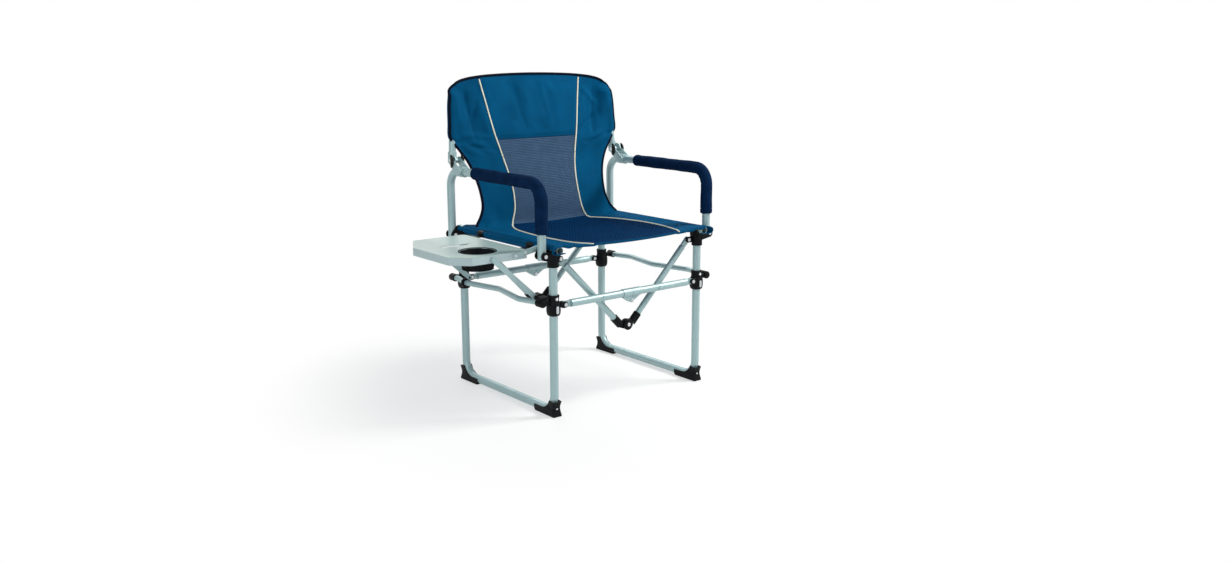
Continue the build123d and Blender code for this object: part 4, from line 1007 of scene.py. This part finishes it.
def net_cup():
    """Hanging net: two families of strings wound opposite ways on a bowl, a rim ring on top, a ring at the
    bottom edge and a small ring in the middle."""
    strings, reach = 20, cup_reach - 3.6
    top, bottom = high[2] - 2.5, low[2] + 1.5
    h = np.linspace(0, 1.55, 30)
    radius = cup_radius(h, reach, 0.6)
    z = top - (top - bottom) * np.minimum(h, 1) + 1.5 * ramp(0.9, 1.0, h) * ramp(1.15, 1.0, h)
    parts = [rolled(round_cup(radius, 2 * pi * k / strings + turn * 0.75 * h, z), 0.75, 4, up=(0.3, 0.2, 1))
             for turn in (-1, 1) for k in range(strings)]
    a = np.linspace(0, 2 * pi, 65)
    for ring, height, wire in ((cup_reach - 2.2, high[2] - 2.0, 2.1),
                               (reach * (1 - CUP_NARROWS), bottom + 0.6, 1.1), (6.0, bottom, 1.0)):
        parts.append(rolled(round_cup(ring, a, height), wire, 8))
    return joined(parts)


def cup_bowl():
    """Close-woven bowl inside the strings, as an outer and an inner skin 0.8 mm apart, its wall slightly
    wavy."""
    top, bottom = high[2] - 2.0, low[2] + 2.2
    h = np.linspace(0, 1.55, 26)
    radius = cup_radius(h, cup_reach - 4.6, 0.56)
    z = top - (top - bottom) * np.minimum(h, 1)
    radius = np.concatenate([radius, (radius - 0.8)[::-1]])[:, None]
    z = np.concatenate([z, (z + 0.8 * ramp(0.9, 1, h))[::-1]])[:, None]
    a = circle(64)[None, :]
    P = round_cup(radius * (1 + 0.02 * np.sin(5 * a + z / 9)), a, z)
    return P.reshape(-1, 3), looped(len(z), 64)[:, ::-1].tolist()


cup = settled(piece("net_cup", *joined([net_cup(), cup_bowl()]), NET), "table")
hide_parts("cup_holder")

# ---------------------------------------------------------------- small fasteners and plates

STRUT_FOOT_Z = 205                         # the hinges in which the struts meet


def rivet_heads(places, outward, radius=5.0, dome=1.7):
    """Domed heads: rings of growing height over each place along the outward Y direction, with a short
    straight skirt below and a dimple in the middle."""
    a = circle(18)
    wide = np.array([1.0, 1.0, 0.93, 0.78, 0.55, 0.32, 0.22, 0.08])[:, None] * radius
    tall = np.array([-0.6, 0.25, 0.62, 0.88, 1.0, 1.0, 0.72, 0.62])[:, None] * dome
    head = np.stack([wide * np.cos(a), outward * tall + 0 * a, wide * np.sin(a)], -1).reshape(-1, 3)
    return joined([(np.asarray(at, float) + head, capped(8, 18, outward)) for at in places])


def link_bar(start, end, radius, front, thick):
    """Flat bar with round ends in the XZ plane: two half circles round start and end joined by straight
    edges, carried from y = front to front + thick, its edges eased over 0.5 mm."""
    start, end = np.asarray(start, float), np.asarray(end, float)
    lean = np.arctan2(*(end - start)[::-1])
    turn = np.concatenate([np.linspace(pi / 2, 3 * pi / 2, 16), np.linspace(-pi / 2, pi / 2, 16)]) + lean
    middle = np.repeat(np.stack([start, end]), 16, 0)
    r = radius - np.array([0.5, 0.0, 0.0, 0.5])[:, None]
    depth = front + np.array([0.0, 0.5, thick - 0.5, thick])[:, None]
    P = np.stack([middle[:, 0] + r * np.cos(turn), depth + 0 * turn, middle[:, 1] + r * np.sin(turn)], -1)
    return P.reshape(-1, 3), capped(4, 32)


def half_moon(x, y, z, radius, thick):
    """Half disc in the YZ plane with its straight side to the rear: an arc from straight down over the front
    to straight up, carried over the thickness with its edges eased over 1 mm."""
    turn = np.linspace(-pi / 2, pi / 2, 25)
    inset = np.array([1.0, 0.0, 0.0, 1.0])[:, None]
    wide = x + np.array([-thick / 2, 1 - thick / 2, thick / 2 - 1, thick / 2])[:, None]
    r = radius - inset
    P = np.stack([wide + 0 * turn, y - r * np.cos(turn) * 0.8 - inset, z + r * np.sin(turn)], -1)
    return P.reshape(-1, 3), capped(4, 25)


for side, hand in HANDS:
    near, far = box_mm(f"{hand}_back_bracket")
    cheeks = joined([half_moon(x, 183, 634, 18, 3.0) for x in (near[0] - 1.2, far[0] + 1.2)])
    settled(piece(f"{hand}_lock_cheeks", *cheeks, BLACK), f"{hand}_arm")
near, far = box_mm("left_strut_hinges")
hinge_faces = ((near[1], -1), (far[1], 1))
bosses = joined([rivet_heads([(0, y, STRUT_FOOT_Z)], way, 15.5, 3.4) for y, way in hinge_faces])
settled(piece("strut_hinge_bosses", *bosses, BLACK), "left_struts")
rivets = joined([rivet_heads([(0, y + way * 3.2, STRUT_FOOT_Z)], way, 5.4, 1.8) for y, way in hinge_faces])
settled(piece("strut_hinge_rivets", *rivets, STEEL), "left_struts")
strap_front = next(box_mm("table_top"))[1] - 2.6
strap = link_bar((-346, 431), (ROD_X, ROD_Z), 7.5, strap_front, 2.5)
settled(piece("table_front_strap", *strap, TUBE), "table")
rivet_places = ((-344, 431.4), (-316, 436.7), (ROD_X, ROD_Z))
rivets = rivet_heads([(x, strap_front, z) for x, z in rivet_places], -1, 4.2)
settled(piece("table_strap_rivets", *rivets, STEEL), "table")

# ---------------------------------------------------------------- clamps that slide on the legs

LEG_X, LEG_Y, LEG_ROOM = 250.0, 214.0, 11.35   # a leg's middle line and the radius of the clamps' bore
CLAMP_Z, CROSS_Z, PIVOT_X = 269.0, 296, 223    # the clamps' underside; the crossbars' pins
SOCKET_X, SOCKET_Z = 286, 305                  # where the side stretchers enter
# A clamp's rings: heights above its underside and half-widths; the first and last ring are the bore.
CLAMP_HEIGHTS = (0, 0, 0.6, 2, 5, 9, 13, 17, 21, 25, 29, 32, 34, 35.5, 37, 40, 46, 49, 51.5, 53, 54, 54)
CLAMP_HALVES = (LEG_ROOM, 12.6, 13.5, 14.5, 15.8, 16.6, 16.95, 17, 17, 16.9, 16.6, 16.1, 15.6, 15.2, 15.0,
                14.9, 15.1, 15.5, 15.9, 15.8, 15.2, LEG_ROOM)


def clamp_barrel(side, end):
    """Barrel round a leg: a swelling block, a waist and a collar with a flared lip. Each ring is |x/0.95|^p +
    |y|^p = h^p, squarish (p 3.2) on the block and round on the collar. The bore's last ring joins its
    first."""
    z, h = np.array(CLAMP_HEIGHTS)[:, None], np.array(CLAMP_HALVES)[:, None]
    bore = h == LEG_ROOM
    p = np.where(bore, 2, 3.2 - 1.2 * ramp(29, 37, z))
    a = circle(48)[None, :]
    r = h / (np.abs(np.cos(a)) ** p + np.abs(np.sin(a)) ** p) ** (1 / p)
    P = np.stack([side * LEG_X + r * np.cos(a) * np.where(bore, 1, 0.95), end * LEG_Y + r * np.sin(a),
                  CLAMP_Z + z + 0 * a], -1)
    return P.reshape(-1, 3), looped(len(z), 48).tolist()


def stretcher_socket(side, end):
    """Round cup beside the clamp that takes the stretcher's end: rings from its closed front over the wall
    into the bore."""
    r = np.array([8, 9.8, 10.5, 10.5, 9.9, 7.7, 7.7])[:, None]
    y = np.array([222, 221.3, 219.5, 197.6, 197, 197, 219])[:, None]
    a = circle(32)[None, :] * end
    P = np.stack([side * SOCKET_X + r * np.cos(a), end * y + 0 * a, SOCKET_Z + r * np.sin(a)], -1)
    return P.reshape(-1, 3), capped(len(r), 32, -1)


def clamp_plate(side, end, xs, z, radius, near, thick):
    """Plate of a clamp between two distances from the middle, reaching from y = near to near + thick at its
    end."""
    front = near if end > 0 else -near - thick
    return link_bar((side * xs[0], z), (side * xs[1], z), radius, front, thick)


# On the left front clamp: a block, a lug on it and the stud that holds the table's front prop.
PROP_SEAT = [link_bar((-267, 316.5), (-292, 316.5), 4, -218, 25.2),
             link_bar((-287, 315), (-290, 319), 5, -197.8, 5),
             rolled([(-290, y, 319) for y in (-197.5, -193, -188.2)], 3, 16)]
for side, hand in HANDS:
    for end, where in ENDS:
        parts = [clamp_barrel(side, end), stretcher_socket(side, end),
                 clamp_plate(side, end, (267, 273), SOCKET_Z, 5.25, 203, 16)]
        parts += [clamp_plate(side, end, (230, PIVOT_X), CROSS_Z, 8, near, 5) for near in (213.6, 225.4)]
        if (hand, where) == ("left", "front"):
            parts += PROP_SEAT
        clamp = piece(f"{hand}_{where}_slide_clamp", *joined(parts), BLACK)
        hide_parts(f"{hand}_{where}_clamp")
        rivet = rivet_heads([(side * LEG_X, end * 229.0, 313.5)], end, 4.4, 1.9)
        settled(clamp, f"{hand}_slider")
        settled(piece(f"{hand}_{where}_clamp_rivet", *rivet, STEEL), f"{hand}_slider")

# ---------------------------------------------------------------- shoes on the legs' bends

SHOE_EASE, TUBE_ROOM = 3.0, 11.3           # rounding of a shoe's long edges; radius of the tube's channel
BEND_Y, BEND_Z, BEND_RADIUS = -169.0, 59.0, 45     # centre and radius of a leg's bend
BEND_START, BEND_SHARE = 0.40, 0.66        # the shoe's first turn on the bend; share of its stations there
FLOOR_RUN = 29                             # length of the shoe along the floor, past the bend
CHANNEL_OVER = 0.36                        # how far the channel reaches past the half circle, in radians
SHOE_AT = (0, 0.12, 0.24, 0.34, 0.40, 0.45, 0.52, 0.60, 0.70, 0.85, 0.95, 1)
SHOE_Y = (-228, -224.4, -223.4, -226, -228.4, -226, -214, -196, -171, -152, -142.5, -140.5)
SHOE_Z = (40, 30, 18.5, 8.5, 2.6, 0, 0, 0, 0, 0, 1.2, 5)


def shoe(side, end):
    """A moulded shoe round a leg's bend. Stations follow the tube's middle line, first through the bend and
    then along the floor. The channel is an arc of radius TUBE_ROOM round it; from the channel's rim two cheeks
    run out to an outline that is drawn in at the front, comes to a toe, lies flat on the floor and is rounded
    at the heel."""
    s = np.linspace(0, 1, 44)[:, None]
    turn = BEND_START + (pi / 2 - BEND_START) * np.minimum(s / BEND_SHARE, 1)
    out = np.stack([0 * turn, -np.cos(turn), -np.sin(turn)], -1)
    along = np.maximum(s - BEND_SHARE, 0) / (1 - BEND_SHARE) * FLOOR_RUN
    middle = np.array([0, BEND_Y, BEND_Z]) + BEND_RADIUS * out + np.stack([0 * s, along, 0 * s], -1)
    phi = np.linspace(-CHANNEL_OVER, pi + CHANNEL_OVER, 27)[None, :, None]
    sideways = np.array([1.0, 0, 0])
    channel = middle + TUBE_ROOM * (np.cos(phi) * sideways + np.sin(phi) * out)
    rim = middle - TUBE_ROOM * sin(CHANNEL_OVER) * out
    sole_line = np.maximum(drawn_curve(s, SHOE_AT, SHOE_Z), 0)
    outline = np.stack([0 * s, drawn_curve(s, SHOE_AT, SHOE_Y), sole_line], -1)
    reach = np.linalg.norm(outline - rim, axis=-1)
    ease = np.linspace(0, pi / 2, 5)[None, 1:]
    half = 13.6 - 1.6 * np.exp(-((s - 0.2) / 0.12) ** 2)
    cheek = (reach - SHOE_EASE) * np.linspace(0, 1, 8)[None, :]
    far = np.concatenate([cheek, reach - SHOE_EASE + SHOE_EASE * np.sin(ease)], 1)
    wide = np.concatenate([half + 0 * cheek, half - SHOE_EASE + SHOE_EASE * np.cos(ease)], 1)
    sole = (half - SHOE_EASE) * np.array([[0.5, 0.0, -0.5]])
    far = np.concatenate([far, reach + 0 * sole, far[:, ::-1]], 1)[..., None]
    wide = np.concatenate([wide, sole, -wide[:, ::-1]], 1)[..., None]
    skin = rim + unit(outline - rim) * far + wide * sideways
    place, mirrored = np.array([side * LEG_X, 0, 0]), np.array([1, -end, 1])
    return walled(*((q * mirrored + place)[:, ::-end] for q in (skin, channel)))[:2]


for side, hand in HANDS:
    for end, where in ENDS:
        cap = piece(f"{hand}_{where}_shoe", *shoe(side, end), BLACK)
        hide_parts(f"{hand}_{where}_foot")
        settled(cap, f"{hand}_frame")
        screw = rivet_heads([(side * LEG_X, end * 223.6, 21)], end, 2.6, 1.1)
        settled(piece(f"{hand}_{where}_shoe_screw", *screw, STEEL), f"{hand}_frame")

# ---------------------------------------------------------------- floor, light and camera


def bare_nodes(owner):
    """The emptied node tree of a material or world."""
    owner.use_nodes = True
    owner.node_tree.nodes.clear()
    return owner.node_tree


def looked_at(tree):
    """1 for rays that show something (camera, reflection, transmission), 0 for rays that only carry light."""
    rays = tree.nodes.new("ShaderNodeLightPath").outputs
    shown = sums(tree, "MAXIMUM", rays["Is Camera Ray"], rays["Is Glossy Ray"])
    return sums(tree, "MAXIMUM", shown, rays["Is Transmission Ray"])


def blended(tree, share, first, second, end):
    """Mix of two shaders by share, into an output node of the kind `end`."""
    mix, out = tree.nodes.new("ShaderNodeMixShader"), tree.nodes.new(end)
    for socket, value in zip(mix.inputs, (share, first.outputs[0], second.outputs[0])):
        tree.links.new(value, socket)
    tree.links.new(mix.outputs[0], out.inputs[0])


def floor_finish():
    """Pale floor that takes the shadow near the chair and fades by distance into plain white."""
    made = bpy.data.materials.new("pale_floor")
    tree = bare_nodes(made)
    matt, white = tree.nodes.new("ShaderNodeBsdfDiffuse"), tree.nodes.new("ShaderNodeEmission")
    matt.inputs["Color"].default_value = (0.9, 0.9, 0.9, 1)
    at, far = tree.nodes.new("ShaderNodeTexCoord"), tree.nodes.new("ShaderNodeVectorMath")
    far.operation = "LENGTH"
    tree.links.new(at.outputs["Object"], far.inputs[0])
    fade = spread(tree, far.outputs["Value"], 0.45, 0.95, 0.55, 1.0)
    blended(tree, sums(tree, "MULTIPLY", looked_at(tree), fade), matt, white, "ShaderNodeOutputMaterial")
    return made


a, reach = circle(96), np.array([300, 900, 2500, 9000])[:, None]
floor = piece("floor", np.stack([reach * np.cos(a), reach * np.sin(a), 0 * reach * a - 0.3], -1),
              grid_quads(4, 96, ring=True).tolist() + [list(range(96))], floor_finish())

world = bpy.data.worlds.new("studio")
bpy.context.scene.world = world
tree = bare_nodes(world)
lit, seen = tree.nodes.new("ShaderNodeBackground"), tree.nodes.new("ShaderNodeBackground")
for sky, colour, strength in ((lit, (0.94, 0.97, 1.0, 1), 0.42), (seen, (1, 1, 1, 1), 1.0)):
    sky.inputs["Color"].default_value, sky.inputs["Strength"].default_value = colour, strength
blended(tree, looked_at(tree), lit, seen, "ShaderNodeOutputWorld")


def dark_card(name, corner, along, up):
    """Flat dark card beside the set, corner + a along + b up, seen only in reflections so that bright tubes
    get an edge."""
    made = bpy.data.materials.new(name)
    made.use_nodes = True
    made.node_tree.nodes["Principled BSDF"].inputs["Base Color"].default_value = (0.02, 0.025, 0.03, 1)
    corner, along, up = (np.asarray(v, float) for v in (corner, along, up))
    card = piece(name, [corner, corner + along, corner + along + up, corner + up], [[0, 1, 2, 3]], made)
    card.visible_camera = card.visible_diffuse = card.visible_shadow = card.visible_transmission = False


dark_card("card_left", (-2600, 300, 0), (0, 1500, 0), (0, 0, 2600))
dark_card("card_right", (2600, -700, 0), (0, 1300, 0), (0, 0, 2600))
dark_card("card_front", (-500, -4600, 0), (1300, 0, 0), (0, 0, 2600))


def soft_lamp(name, place, aim, size, watts, tint):
    """Square area lamp that looks from place to aim."""
    data = bpy.data.lights.new(name, "AREA")
    data.size, data.energy, data.color = size, watts, tint
    lamp = bpy.data.objects.new(name, data)
    bpy.context.scene.collection.objects.link(lamp)
    lamp.location = place
    x, y, z = np.subtract(aim, place)
    lamp.rotation_euler = (np.arctan2(np.hypot(x, y), -z), 0, np.arctan2(x, -y) + pi)


soft_lamp("key", (1.9, -1.2, 2.5), (0, 0, 0.45), 0.9, 92, (1.0, 0.985, 0.96))
soft_lamp("fill", (-2.6, -1.2, 1.5), (0, 0, 0.4), 2.0, 22, (0.95, 0.98, 1.0))
soft_lamp("rim", (0.6, 2.4, 2.4), (0, 0, 0.5), 1.6, 26, (1, 1, 1))

AZIMUTH, ELEVATION, DISTANCE = radians(-39.42), radians(12.04), 3.170
TARGET = np.array([0.1268, 0.0, 0.2726])
FOCAL_PIXELS, FRAME_PIXELS, SENSOR = 1089, 1229, 36    # solved focal length, picture's width; sensor in mm
camera = bpy.data.objects.new("camera", bpy.data.cameras.new("camera"))
bpy.context.scene.collection.objects.link(camera)
camera.data.lens, camera.data.sensor_width = SENSOR * FOCAL_PIXELS / FRAME_PIXELS, SENSOR
camera.data.sensor_fit = "HORIZONTAL"
toward = np.array([sin(AZIMUTH) * cos(ELEVATION), -cos(AZIMUTH) * cos(ELEVATION), sin(ELEVATION)])
camera.location = TARGET + DISTANCE * toward
camera.rotation_euler = (pi / 2 - ELEVATION, 0, AZIMUTH)
bpy.context.scene.camera = camera
bpy.context.scene.view_settings.view_transform = "Standard"
